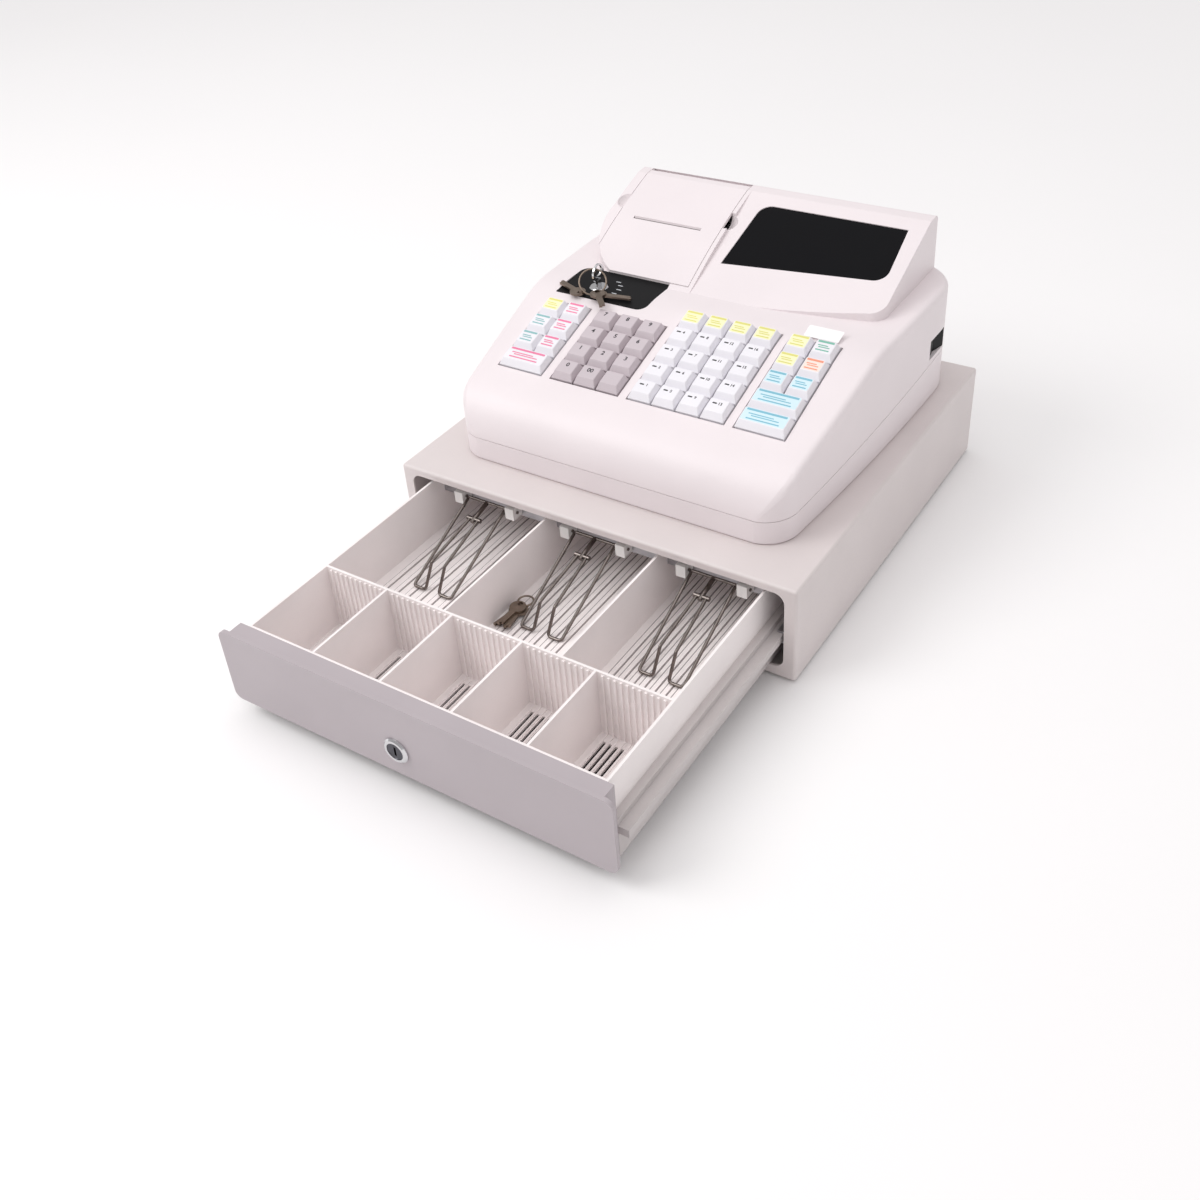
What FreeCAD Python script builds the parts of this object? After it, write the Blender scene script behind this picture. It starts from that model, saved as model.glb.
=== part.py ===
import FreeCAD, Part
import math
import os
import re
import Sketcher

# Electronic cash register with a receipt printer, standing on its open cash drawer.
# Millimetres. X runs to the operator's right, Y to the back, Z up from the table.
# The origin is the centre of the footprint with the drawer open.

os.makedirs("parts", exist_ok=True)
doc = FreeCAD.newDocument("cash_register")

# Driving dimensions. Heights are above the cabinet's underside and depths are behind
# the cabinet's front face, unless the name says otherwise.
SIZES = {
    # cabinet
    "cabinet_width": 330.0, "cabinet_depth": 328.0, "cabinet_height": 75.7,
    "sheet_wall": 1.6, "cabinet_round": 2.2,
    "opening_side": 9.0, "opening_low": 7.0, "opening_high": 69.6, "opening_round": 8.0,
    "foot_height": 3.0, "foot_radius": 9.0, "foot_inset": 26.0,
    # drawer
    "drawer_travel": 204.0, "slide_gap": 0.5,
    "face_side_gap": 2.5, "face_low": 9.6, "face_high": 68.6, "face_wall": 3.0, "face_round": 6.0,
    "face_band": 14.0, "face_band_wall": 2.2,
    "pan_side_gap": 10.0, "pan_low": 7.6, "pan_high": 38.0, "pan_wall": 1.2,
    "runner_reach": 7.5, "runner_low": 27.5, "runner_high": 33.5,
    "rail_wall": 1.5, "rail_lip": 3.5, "rail_start": 4.0, "rail_back": 28.0,
    # till tray
    "tray_side_gap": 5.3, "tray_high": 65.5, "tray_wall": 1.8,
    "coin_floor": 14.0, "bill_floor": 22.0, "coin_length": 75.0,
    "left_divider": -35.4, "right_divider": 58.0, "rib_width": 1.6, "rib_height": 1.2,
    "floor_rib": 0.8, "keel_inset": 6.0,
    "coin_slot_width": 2.6, "coin_slot_length": 26.0, "coin_slot_back": 7.0, "coin_slot_shift": 13.0,
    # bill clips
    "clip_first": -93.0, "clip_pitch": 96.0, "clip_wire": 1.15, "clip_arm_wire": 1.7,
    "clip_axis_depth": 9.0, "clip_axis_height": 57.5, "clip_half": 17.0, "clip_inner": 6.0,
    "clip_foot_depth": 64.0, "clip_top_depth": 53.0, "clip_top_height": 42.0,
    "clip_cross_depth": 8.0, "clip_cross_height": 53.0, "clip_bend": 2.6,
    "clip_block_half": 23.5, "clip_block_width": 7.6, "clip_gap": 0.08,
    "clip_bar_depth": 15.0, "clip_bar_high": 63.0, "clip_bar_low": 51.0, "clip_bar_wall": 1.5,
    # drawer lock
    "lock_across": -7.0, "lock_height": 31.0, "lock_radius": 9.5, "lock_plug_radius": 6.4,
    "lock_proud": 2.2, "lock_length": 8.2, "lock_gap": 0.1,
    # drawer latch
    "latch_back": 45.0, "latch_tab_lead": 7.0, "latch_tab_height": 20.0, "latch_tab_reach": 16.0,
    "latch_tab_wall": 1.5, "latch_tab_half": 12.0, "latch_pin_radius": 3.0,
    "latch_pin_tip": 24.0, "latch_pin_travel": 8.0, "latch_hole_gap": 1.0,
    # register housing
    "housing_front": 33.5, "housing_rear": 321.0, "housing_half_front": 138.5,
    "housing_half_rear": 149.0, "housing_corner": 29.0, "rear_corner": 42.0,
    "break_blend": 14.0, "shell_wall": 2.4, "edge_round": 5.0,
    "deck_tilt": 17.2, "deck_origin_height": 110.5, "deck_break": 165.0, "rear_deck_height": 163.0,
    "nose_radius": 40.0, "seam_front": 94.0, "seam_slope": 3.4, "seam_gap": 0.5, "tongue_wall": 1.2,
    "tongue_height": 4.0, "foot_recess": 1.2, "recess_height": 1.3,
    "hump_half": 128.0, "hump_front": 191.0, "hump_rear": 312.0, "hump_top": 207.5,
    "hump_ridge": 296.0, "hump_bow": 585.0, "hump_left_reach": 40.0, "hump_left_round": 64.0,
    "hump_right_round": 12.0, "printer_bulge": 3.5,
    # receipt printer
    "lid_left": -119.0, "lid_right": -26.0, "lid_rise": 1.6, "lid_gap": 0.5, "pin_gap": 0.1,
    "scoop_radius": 9.0, "scoop_depth": 261.0, "scoop_lift": 4.0, "scoop_wall": 2.0,
    "lid_axis_depth": 302.0, "lid_axis_height": 200.5, "lid_barrel": 6.0,
    "lid_swing": 8.2, "lid_pin_radius": 1.6, "bulkhead_wall": 2.5,
    "slot_centre": -73.0, "slot_depth": 248.0, "slot_length": 62.0, "slot_width": 2.6,
    "roll_radius": 23.0, "roll_core": 6.5, "roll_length": 57.0, "roll_lead": 25.0,
    "roll_headroom": 12.2, "platen_radius": 6.0, "platen_lap": 0.5, "platen_rise": 7.6,
    # displays, mode switch, power switch and cord inlet
    "window_wall": 2.0, "window_recess": 0.8, "window_round": 11.0,
    "customer_left": 10.0, "customer_right": 96.0, "customer_low": 176.0, "customer_high": 196.0,
    "customer_wall": 5.0,
    "panel_left": -121.5, "panel_right": -41.5, "panel_front": 157.0, "panel_rear": 199.0,
    "panel_wall": 1.2, "panel_rise": 0.4, "panel_round": 8.0,
    "mode_across": -93.0, "mode_depth": 175.0, "mode_drop": 4.4, "mode_radius": 7.5,
    "mode_gap": 0.1,
    "rocker_depth": 272.5, "rocker_height": 120.5, "rocker_long": 28.0, "rocker_wide": 16.0,
    "rocker_pivot": 143.7, "rocker_pin_radius": 1.2,
    "inlet_across": 96.0, "inlet_height": 88.5, "inlet_radius": 6.0,
    # keys
    "key_depth": 76.8, "key_top": 5.0, "key_pitch_across": 19.7, "key_pitch_up": 18.7,
    "key_space": 1.6, "key_travel": 3.0, "key_skirt": 3.6, "key_stem": 4.0, "key_stem_drop": 14.0,
    "key_lean_side": 1.9, "key_lean_front": 4.2, "key_lean_rear": 0.9, "key_side_gap": 0.5,
    "left_keys": -121.0, "number_keys": -73.6, "department_keys": -7.1, "right_keys": 78.8,
    "key_plate_drop": 9.0, "key_plate_wall": 1.6,
    # screws and board posts
    "screw_radius": 1.9, "screw_head": 3.6, "screw_boss": 5.0, "screw_across": 112.0,
    "screw_front": 90.0, "screw_rear": 250.0, "board_post": 9.0,
}
# Dimensions that follow from the ones above.
FOLLOWING = {
    "opening_half": "cabinet_width / 2 - opening_side",
    "face_half": "opening_half - face_side_gap",
    "pan_half": "opening_half - pan_side_gap",
    "tray_half": "pan_half - tray_side_gap",
    "rail_mouth": "pan_half + rail_lip",
    "rail_length": "cabinet_depth - rail_start - rail_back",
    "latch_depth": "cabinet_depth - latch_back",
    "pan_length": "latch_depth - face_band - latch_tab_lead",
    "face_rise": "(hump_top + 1.5 - rear_deck_height) / (hump_ridge - hump_front)",
    "lid_low": "rear_deck_height + lid_rise",
    "roll_depth": "lid_axis_depth - roll_lead",
    "roll_height": "rear_deck_height - 2.5 + face_rise * (roll_depth - hump_front)"
                   " - roll_headroom - roll_radius",
    "platen_height": "roll_height + platen_rise",
    "platen_depth": "roll_depth - roll_radius - platen_radius + platen_lap",
}
NAMES = set(SIZES) | set(FOLLOWING)

sheet = doc.addObject("Spreadsheet::Sheet", "dims")
rows = list(SIZES.items()) + [(alias, "=" + text) for alias, text in FOLLOWING.items()]
for row, (alias, value) in enumerate(rows, start=1):
    sheet.set("A%d" % row, alias)
    sheet.set("B%d" % row, str(value))
    sheet.setAlias("B%d" % row, alias)
    doc.recompute()

X_AXIS = FreeCAD.Vector(1, 0, 0)
Y_AXIS = FreeCAD.Vector(0, 1, 0)
Z_AXIS = FreeCAD.Vector(0, 0, 1)
NAME = re.compile(r"[a-z_][a-z_0-9]*")
# The cabinet's front face, measured from the origin, and its underside.
FRONT = "(drawer_travel + lock_proud - cabinet_depth) / 2"
FLOOR = "foot_height"
# The drawer's front face and the till tray's front wall, drawer open.
FACE = "(lock_proud - drawer_travel - cabinet_depth) / 2"
TRAY = FACE + " + face_band"
pieces = []


def size(name):
    return getattr(sheet, name)


FRONT_Y = (size("drawer_travel") + size("lock_proud") - size("cabinet_depth")) / 2
FLOOR_Z = size("foot_height")
TRAY_Y = FRONT_Y - size("drawer_travel") + size("face_band")
TILT = math.radians(size("deck_tilt"))


def linked(text):
    """Point each dimension's name in an expression at its cell of the sheet."""
    return NAME.sub(lambda m: "dims." + m.group() if m.group() in NAMES else m.group(), text)


def bind(target, **links):
    for prop, text in links.items():
        target.setExpression(prop, linked(text))


def place(target, x="0", y="0", z="0", axis=None, angle="0"):
    """Place an object by expressions, turned about one axis."""
    if axis:
        target.Placement = FreeCAD.Placement(FreeCAD.Vector(), FreeCAD.Rotation(axis, 1))
        target.setExpression("Placement.Rotation.Angle", linked(angle))
    for letter, text in zip("xyz", (x, y, z)):
        target.setExpression("Placement.Base." + letter, linked(text))
    return target


def keep(target, name):
    """Name a finished sub-part and list it for writing."""
    target.Label = name
    pieces.append(target)
    return target


def make(kind, **links):
    target = doc.addObject(kind, "Shape")
    bind(target, **links)
    return target


def box(x, y, z, length, width, height):
    return place(make("Part::Box", Length=length, Width=width, Height=height), x, y, z)


def rod(x, y, z, radius, length, axis=None, angle="90"):
    return place(make("Part::Cylinder", Radius=radius, Height=length), x, y, z, axis, angle)


def fuse(*shapes):
    joined = doc.addObject("Part::MultiFuse", "Joined")
    joined.Shapes = list(shapes)
    return joined


def cut(base, *tools):
    result = doc.addObject("Part::Cut", "Carved")
    result.Base = base
    result.Tool = tools[0] if len(tools) == 1 else fuse(*tools)
    return result


def group(*shapes):
    together = doc.addObject("Part::Compound", "Together")
    together.Links = list(shapes)
    return together


def feature(name, shape, on_cabinet=False):
    """A sub-part whose free form is built in code from the sheet's values.

    With on_cabinet its heights and depths count from the cabinet's front and underside.
    """
    target = doc.addObject("Part::Feature", name)
    target.Shape = shape
    shift = FreeCAD.Vector(0, FRONT_Y, FLOOR_Z) if on_cabinet else FreeCAD.Vector()
    target.Placement = FreeCAD.Placement(shift, FreeCAD.Rotation()).multiply(shape.Placement)
    return keep(target, name)


def new_body(name):
    body = doc.addObject("PartDesign::Body", name)
    return keep(body, name)


def outline(body, role, points, offset="0"):
    """A closed polygon sketch on an origin plane, each corner held by two dimensions."""
    sketch = body.newObject("Sketcher::SketchObject", "Outline")
    plane = next(item for item in body.Origin.OriginFeatures if item.Role == role)
    sketch.AttachmentSupport = [(plane, "")]
    sketch.MapMode = "FlatFace"
    bind_offset = linked(offset)
    sketch.setExpression("AttachmentOffset.Base.z", bind_offset)
    count = len(points)
    turns = [2 * math.pi * step / count for step in range(count)]
    spots = [FreeCAD.Vector(10 * math.cos(turn), 10 * math.sin(turn), 0) for turn in turns]
    for step in range(count):
        sketch.addGeometry(Part.LineSegment(spots[step], spots[(step + 1) % count]), False)
    for step in range(count):
        sketch.addConstraint(Sketcher.Constraint("Coincident", step, 2, (step + 1) % count, 1))
    for step, (across, up) in enumerate(points):
        for kind, letter, text in (("DistanceX", "x", across), ("DistanceY", "y", up)):
            start = spots[step].x if letter == "x" else spots[step].y
            index = sketch.addConstraint(Sketcher.Constraint(kind, -1, 1, step, 1, start))
            label = "%s%d" % (letter, step)
            sketch.renameConstraint(index, label)
            sketch.setExpression("Constraints." + label, linked(text))
    return sketch


def rectangle(left, right, low, high):
    return [(left, low), (right, low), (right, high), (left, high)]


def pad(body, sketch, length, middle=False, back=False):
    result = body.newObject("PartDesign::Pad", "Pad")
    result.Profile = sketch
    bind(result, Length=length)
    result.Midplane = middle
    result.Reversed = back
    doc.recompute()
    return result


def pocket(body, sketch, length, middle=False, back=False):
    """Cut a sketch's outline out of a body, and check that it took something away."""
    before = body.Shape.Volume
    result = body.newObject("PartDesign::Pocket", "Pocket")
    result.Profile = sketch
    bind(result, Length=length)
    result.Midplane = middle
    result.Reversed = back
    doc.recompute()
    assert body.Shape.Volume < before, "a pocket of %s cuts nothing" % body.Label
    return result


def revolve(body, sketch, axis_name):
    """Turn a sketch all the way round one of its own axes, V_Axis or H_Axis."""
    result = body.newObject("PartDesign::Revolution", "Turned")
    result.Profile = sketch
    result.ReferenceAxis = (sketch, [axis_name])
    result.Angle = 360
    doc.recompute()
    return result


def soften(body, radius, wanted):
    """Round the edges that wanted() picks."""
    tip = body.Tip
    names = ["Edge%d" % number for number, edge in enumerate(tip.Shape.Edges, start=1) if wanted(edge)]
    assert names, "no edge of %s to round" % body.Label
    result = body.newObject("PartDesign::Fillet", "Round")
    result.Base = (tip, names)
    bind(result, Radius=radius)
    doc.recompute()
    return result


def runs_along(edge, axis):
    if len(edge.Vertexes) < 2:
        return False
    chord = edge.Vertexes[-1].Point - edge.Vertexes[0].Point
    return abs(abs(chord.dot(axis)) - edge.Length) < 0.001


def hollow_box(low, high):
    """A plain box between two corners, for trimming free forms."""
    start = FreeCAD.Vector(*low)
    return Part.makeBox(high[0] - low[0], high[1] - low[1], high[2] - low[2], start)


# Cabinet

def cabinet_shell():
    """Folded steel cover with a mouth for the drawer, open underneath."""
    body = doc.addObject("PartDesign::Body", "Cover")
    half = "cabinet_width / 2"
    rear = FRONT + " + cabinet_depth"
    plan = outline(body, "XY_Plane", rectangle("-" + half, half, FRONT, rear), FLOOR)
    pad(body, plan, "cabinet_height")
    top = size("foot_height") + size("cabinet_height")
    soften(body, "cabinet_round",
           lambda e: runs_along(e, Z_AXIS) or min(v.Z for v in e.Vertexes) > top - 0.01)
    inner = rectangle("sheet_wall - " + half, half + " - sheet_wall",
                      FRONT + " + sheet_wall", rear + " - sheet_wall")
    pocket(body, outline(body, "XY_Plane", inner, FLOOR), "cabinet_height - sheet_wall", back=True)
    mouth = rectangle("-opening_half", "opening_half", FLOOR + " + opening_low",
                      FLOOR + " + opening_high")
    pocket(body, outline(body, "XZ_Plane", mouth, "-(" + FRONT + ")"), "2 * sheet_wall", middle=True)
    half_mouth = size("opening_half")
    soften(body, "opening_round",
           lambda e: runs_along(e, Y_AXIS) and abs(abs(e.Vertexes[0].X) - half_mouth) < 0.01
           and e.Length < 2 * size("sheet_wall"))
    bores = [rod(across, depth, FLOOR + " + cabinet_height - 2 * sheet_wall", "screw_radius",
                 "3 * sheet_wall") for across, depth in screw_spots()]
    keep(cut(body, *bores), "cabinet_shell")


def screw_spots():
    """Where the four housing screws stand, as expressions across and from front to back."""
    return [(side + "screw_across", FRONT + " + " + depth) for side in ("-", "")
            for depth in ("screw_front", "screw_rear")]


def cabinet_base():
    """Bottom pan that closes the cover, with turned-up sides and slots for air."""
    body = new_body("cabinet_base")
    half = "cabinet_width / 2 - sheet_wall"
    front = FRONT + " + sheet_wall"
    rear = FRONT + " + cabinet_depth - sheet_wall"
    pad(body, outline(body, "XY_Plane", rectangle("-(" + half + ")", half, front, rear), FLOOR),
        "opening_low - 1")
    inner = rectangle("sheet_wall - (" + half + ")", half + " - sheet_wall",
                      front + " + sheet_wall", rear + " - sheet_wall")
    pocket(body, outline(body, "XY_Plane", inner, FLOOR + " + sheet_wall"), "opening_low", back=True)


def rubber_feet():
    """Four tapered rubber feet under the bottom pan."""
    feet = []
    for side in (-1, 1):
        for end in (0, 1):
            foot = make("Part::Cone", Radius1="foot_radius - 1.5", Radius2="foot_radius",
                        Height="foot_height")
            along = "foot_inset" if end == 0 else "cabinet_depth - foot_inset"
            place(foot, "%d * (cabinet_width / 2 - foot_inset)" % side, FRONT + " + " + along)
            feet.append(foot)
    keep(group(*feet), "rubber_feet")


def drawer_rails():
    """Two moulded channels that carry the drawer's runners, one on each side wall."""
    rails = []
    wall = "(cabinet_width / 2 - sheet_wall)"
    web = "(pan_half + runner_reach + slide_gap)"
    low = "runner_low - slide_gap"
    high = "runner_high + slide_gap"
    corners = [(wall, low + " - rail_wall"), (wall, high + " + rail_wall"),
               ("rail_mouth", high + " + rail_wall"), ("rail_mouth", high), (web, high), (web, low),
               ("rail_mouth", low), ("rail_mouth", low + " - rail_wall")]
    for side in (-1, 1):
        body = doc.addObject("PartDesign::Body", "Rail")
        points = [("%d * (%s)" % (side, across), FLOOR + " + " + up) for across, up in corners]
        sketch = outline(body, "XZ_Plane", points, "-(" + FRONT + " + rail_start)")
        pad(body, sketch, "rail_length", back=True)
        rails.append(body)
    keep(group(*rails), "drawer_rails")


def latch():
    """Solenoid and bracket at the back of the cabinet, and the pin that holds the drawer shut."""
    post_y = FRONT + " + latch_depth + 12"
    foot = box("-16", post_y, FLOOR + " + sheet_wall", "32", "22", "2")
    post = box("-16", post_y, FLOOR + " + sheet_wall", "32", "2", "46")
    arm = box("-10", FRONT + " + latch_depth - 6", FLOOR + " + 33", "20", "18", "2")
    coil = rod("0", FRONT + " + latch_depth", FLOOR + " + 35", "latch_tab_lead - 0.6", "14")
    centre_y = FRONT + " + latch_depth"
    bore = rod("0", centre_y, FLOOR + " + 30", "latch_pin_radius + lock_gap", "30")
    strap = box("-10", FRONT + " + latch_depth + 6", FLOOR + " + 35", "20", "6", "10")
    keep(cut(fuse(foot, post, arm, coil, strap), bore), "latch_unit")
    body = new_body("latch_pin")
    points = [("0", "latch_pin_tip"), ("latch_pin_radius - 1", "latch_pin_tip"),
              ("latch_pin_radius", "latch_pin_tip + 1"), ("latch_pin_radius", "61"),
              ("latch_pin_radius + 2.5", "61"), ("latch_pin_radius + 2.5", "63"), ("0", "63")]
    sketch = outline(body, "XZ_Plane", [(x, FLOOR + " + " + up) for x, up in points], "0")
    revolve(body, sketch, "V_Axis")
    place(body, "0", centre_y, "0")


# Drawer

def drawer_front():
    """Moulded front plate with rounded corners, a deep top band and a hole for the lock."""
    body = doc.addObject("PartDesign::Body", "Plate")
    face = rectangle("-face_half", "face_half", FLOOR + " + face_low", FLOOR + " + face_high")
    pad(body, outline(body, "XZ_Plane", face, "-(" + FACE + ")"), "face_wall", back=True)
    soften(body, "face_round", lambda e: runs_along(e, Y_AXIS))
    back = "-(" + FACE + " + face_wall)"
    depth = "face_band - face_wall"
    top = "face_high - 1.2"
    band = [("-tray_half - 3", "pan_low"), ("-tray_half - 3 - face_band_wall", "pan_low"),
            ("-tray_half - 3 - face_band_wall", top), ("tray_half + 3 + face_band_wall", top),
            ("tray_half + 3 + face_band_wall", "pan_low"), ("tray_half + 3", "pan_low"),
            ("tray_half + 3", top + " - face_band_wall"), ("-tray_half - 3", top + " - face_band_wall")]
    low = "face_low + 3"
    band = [(x, FLOOR + " + " + (low if up == "pan_low" else up)) for x, up in band]
    pad(body, outline(body, "XZ_Plane", band, back), depth, back=True)
    bore = rod("lock_across", FACE + " + 2 * face_wall", FLOOR + " + lock_height", "lock_radius - 2",
               "3 * face_wall", X_AXIS)
    keep(cut(body, bore), "drawer_front")


def drawer_box():
    """Steel pan under the tray: floor, sides with runners, ends, and the latch's tab."""
    wall = "pan_wall"
    half = "pan_half"
    length = "pan_length"
    low = FLOOR + " + pan_low"
    body = doc.addObject("PartDesign::Body", "PanSection")
    profile = [("-" + half, "pan_low"), (half, "pan_low"), (half, "runner_low"),
               (half + " + runner_reach", "runner_low"), (half + " + runner_reach", "runner_high"),
               (half, "runner_high"), (half, "pan_high"), ("tray_half", "pan_high"),
               ("tray_half", "pan_high - pan_wall"), (half + " - pan_wall", "pan_high - pan_wall"),
               (half + " - pan_wall", "pan_low + pan_wall")]
    mirrored = []
    for across, up in reversed(profile[2:]):
        mirrored.append(("-(" + across + ")", up))
    profile = profile + mirrored
    points = [(x, FLOOR + " + " + up) for x, up in profile]
    pad(body, outline(body, "XZ_Plane", points, "-(" + TRAY + ")"), length, back=True)
    rear = box("-pan_half", TRAY + " + pan_length - pan_wall", low, "2 * pan_half", wall,
               "pan_high - pan_low")
    front = box("-pan_half", TRAY, low, "2 * pan_half", wall, "pan_high - pan_low")
    tab = box("-latch_tab_half", TRAY + " + pan_length", FLOOR + " + latch_tab_height - latch_tab_wall",
              "2 * latch_tab_half", "latch_tab_reach", "latch_tab_wall")
    hole = rod("0", FRONT + " + latch_depth - drawer_travel", FLOOR + " + latch_tab_height - 5",
               "latch_pin_radius + latch_hole_gap", "10")
    keep(cut(fuse(body, rear, front, tab), hole), "drawer_box")


def till_tray():
    """Moulded insert: five coin bins in front, three bill bins behind, ribbed floors."""
    half = size("tray_half")
    wall = size("tray_wall")
    top = FLOOR_Z + size("tray_high")
    bottom = FLOOR_Z + size("pan_low") + size("pan_wall")
    front = TRAY_Y + size("pan_wall")
    rear = TRAY_Y + size("pan_length") - size("pan_wall")
    cross = TRAY_Y + size("coin_length")
    coin_floor = FLOOR_Z + size("coin_floor")
    bill_floor = FLOOR_Z + size("bill_floor")
    rib = size("rib_width")
    rise = size("rib_height")
    floor_rib = size("floor_rib")
    slot_half = size("coin_slot_width") / 2
    slot_end = cross - size("coin_slot_back")
    tray = hollow_box((-half, front, bottom), (half, rear, top))
    pitch = 2 * half / 5
    bins = []
    slots = []
    ribs = []
    for number in range(5):
        left = -half + number * pitch + (wall if number == 0 else wall / 2)
        right = -half + (number + 1) * pitch - (wall if number == 4 else wall / 2)
        bins.append(hollow_box((left, front + wall, coin_floor), (right, cross, top + 1)))
        count = 11
        for step in range(count):
            spot = left + (right - left) * (step + 1) / (count + 1)
            ribs.append(hollow_box((spot - rib / 2, cross - rise, coin_floor - 1),
                                   (spot + rib / 2, cross + 0.5, top - 1.5)))
            ribs.append(hollow_box((spot - rib / 2, front + wall, coin_floor - 1),
                                   (spot + rib / 2, cross, coin_floor + floor_rib)))
        across = (right - left) / (count + 1)
        for step in range(4):
            spot = (left + right) / 2 - size("coin_slot_shift") + (step - 1.5) * across
            slots.append(hollow_box((spot - slot_half, slot_end - size("coin_slot_length"), bottom - 1),
                                    (spot + slot_half, slot_end, coin_floor + 2)))
    walls = [-half, size("left_divider"), size("right_divider"), half]
    for number in range(3):
        left = walls[number] + (wall if number == 0 else wall / 2)
        right = walls[number + 1] - (wall if number == 2 else wall / 2)
        bins.append(hollow_box((left, cross + wall, bill_floor), (right, rear - wall, top + 1)))
        count = 9
        for step in range(count):
            spot = left + (right - left) * (step + 1) / (count + 1)
            ribs.append(hollow_box((spot - rib, cross + wall, bill_floor - 1),
                                   (spot + rib, rear - wall, bill_floor + floor_rib)))
    underside = hollow_box((-half + wall, cross + wall, bottom - 1),
                           (half - wall, rear - wall, bill_floor - wall))
    inset = size("keel_inset")
    keel = hollow_box((-half + inset, front + wall + inset / 2, bottom - 1),
                      (half - inset, cross - inset / 2, coin_floor - wall))
    tray = tray.cut(Part.makeCompound(bins)).fuse(ribs)
    bar_front = FRONT_Y + size("clip_bar_depth")
    seat = hollow_box((-half + wall, bar_front, FLOOR_Z + size("clip_bar_low")),
                      (half - wall, bar_front + size("clip_bar_wall"), top + 1))
    tray = tray.cut([underside, keel, seat] + slots).removeSplitter()
    feature("till_tray", tray)


def clip_bar():
    """Flat steel bar across the bill bins that carries the clips' hinge blocks."""
    body = new_body("clip_bar")
    inside = "(tray_half - tray_wall)"
    face = rectangle("-" + inside, inside, FLOOR + " + clip_bar_low", FLOOR + " + clip_bar_high")
    pad(body, outline(body, "XZ_Plane", face, "-(" + FRONT + " + clip_bar_depth)"),
        "clip_bar_wall", back=True)


def clip_blocks():
    """Two moulded hinge blocks for each bill clip."""
    blocks = []
    for number in range(3):
        for side in (-1, 1):
            centre = "clip_first + %d * clip_pitch + %d * clip_block_half" % (number, side)
            block = box(centre + " - clip_block_width / 2", FRONT + " + clip_axis_depth - 4.5",
                        FLOOR + " + clip_axis_height - 5", "clip_block_width",
                        "clip_bar_depth - clip_axis_depth + 4.5", "9.5")
            bore = rod(centre + " - clip_block_width", FRONT + " + clip_axis_depth",
                       FLOOR + " + clip_axis_height", "clip_wire + clip_gap",
                       "2 * clip_block_width", Y_AXIS)
            blocks.append(cut(block, bore))
    keep(group(*blocks), "clip_hinge_blocks")


def bend_points(before, corner, after, reach):
    """Start, middle and end of the arc that rounds a corner, starting reach away from it."""
    back = (before - corner).normalize()
    ahead = (after - corner).normalize()
    half_turn = (math.pi - back.getAngle(ahead)) / 2
    radius = reach / math.tan(half_turn)
    toward = (back + ahead).normalize()
    middle = corner + toward * (radius / math.cos(half_turn) - radius)
    return corner + back * reach, middle, corner + ahead * reach


def wire_path(points, bend):
    """Straight runs between the points, joined by arcs of one radius."""
    spots = [FreeCAD.Vector(*point) for point in points]
    edges = []
    last = spots[0]
    for before, corner, after in zip(spots, spots[1:], spots[2:]):
        turn = math.pi - (before - corner).getAngle(after - corner)
        start, middle, end = bend_points(before, corner, after, bend * math.tan(turn / 2))
        edges.append(Part.LineSegment(last, start).toShape())
        edges.append(Part.Arc(start, middle, end).toShape())
        last = end
    edges.append(Part.LineSegment(last, spots[-1]).toShape())
    return Part.Wire(edges)


def tube(points, bend, radius):
    """Round wire along a path."""
    path = wire_path(points, bend)
    start = FreeCAD.Vector(*points[0])
    ahead = FreeCAD.Vector(*points[1]) - start
    section = Part.Wire(Part.makeCircle(radius, start, ahead))
    return path.makePipeShell([section], True, True)


def bill_clips():
    """Bent wire clips that hold the notes down, each hung in its two blocks."""
    wire = size("clip_wire")
    axis_y = FRONT_Y + size("clip_axis_depth")
    axis_z = FLOOR_Z + size("clip_axis_height")
    foot_y = FRONT_Y - size("clip_foot_depth")
    foot_z = FLOOR_Z + size("bill_floor") + size("floor_rib") + wire
    top_y = FRONT_Y - size("clip_top_depth")
    top_z = FLOOR_Z + size("clip_top_height")
    cross_y = FRONT_Y - size("clip_cross_depth")
    cross_z = FLOOR_Z + size("clip_cross_height")
    half = size("clip_half")
    inner = size("clip_inner")
    reach = size("clip_block_half") + size("clip_block_width") / 2 + 1
    bend = size("clip_bend")
    for number, name in enumerate(("left", "middle", "right")):
        centre = size("clip_first") + number * size("clip_pitch")
        solids = []
        for side in (-1, 1):
            route = [(side * reach, axis_y, axis_z), (side * half, axis_y, axis_z),
                     (side * half, foot_y, foot_z), (side * inner, foot_y, foot_z),
                     (side * inner, top_y, top_z), (side * inner * 0.6, cross_y, cross_z)]
            route = [(centre + x, y, z) for x, y, z in route]
            solids.append(tube(route, bend, wire))
        bar = Part.makeCylinder(wire, 2 * half, FreeCAD.Vector(centre - half, axis_y, axis_z), X_AXIS)
        arm_start = FreeCAD.Vector(centre, cross_y - 3, cross_z - 0.6)
        arm_end = FreeCAD.Vector(centre, axis_y, axis_z)
        arm = Part.makeCylinder(size("clip_arm_wire"), (arm_end - arm_start).Length, arm_start,
                                arm_end - arm_start)
        across = Part.makeCylinder(size("clip_arm_wire"), 2 * inner, FreeCAD.Vector(centre - inner,
                                   cross_y, cross_z), X_AXIS)
        clip = solids[0].fuse([solids[1], bar, arm, across])
        feature("bill_clip_" + name, clip)


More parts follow.
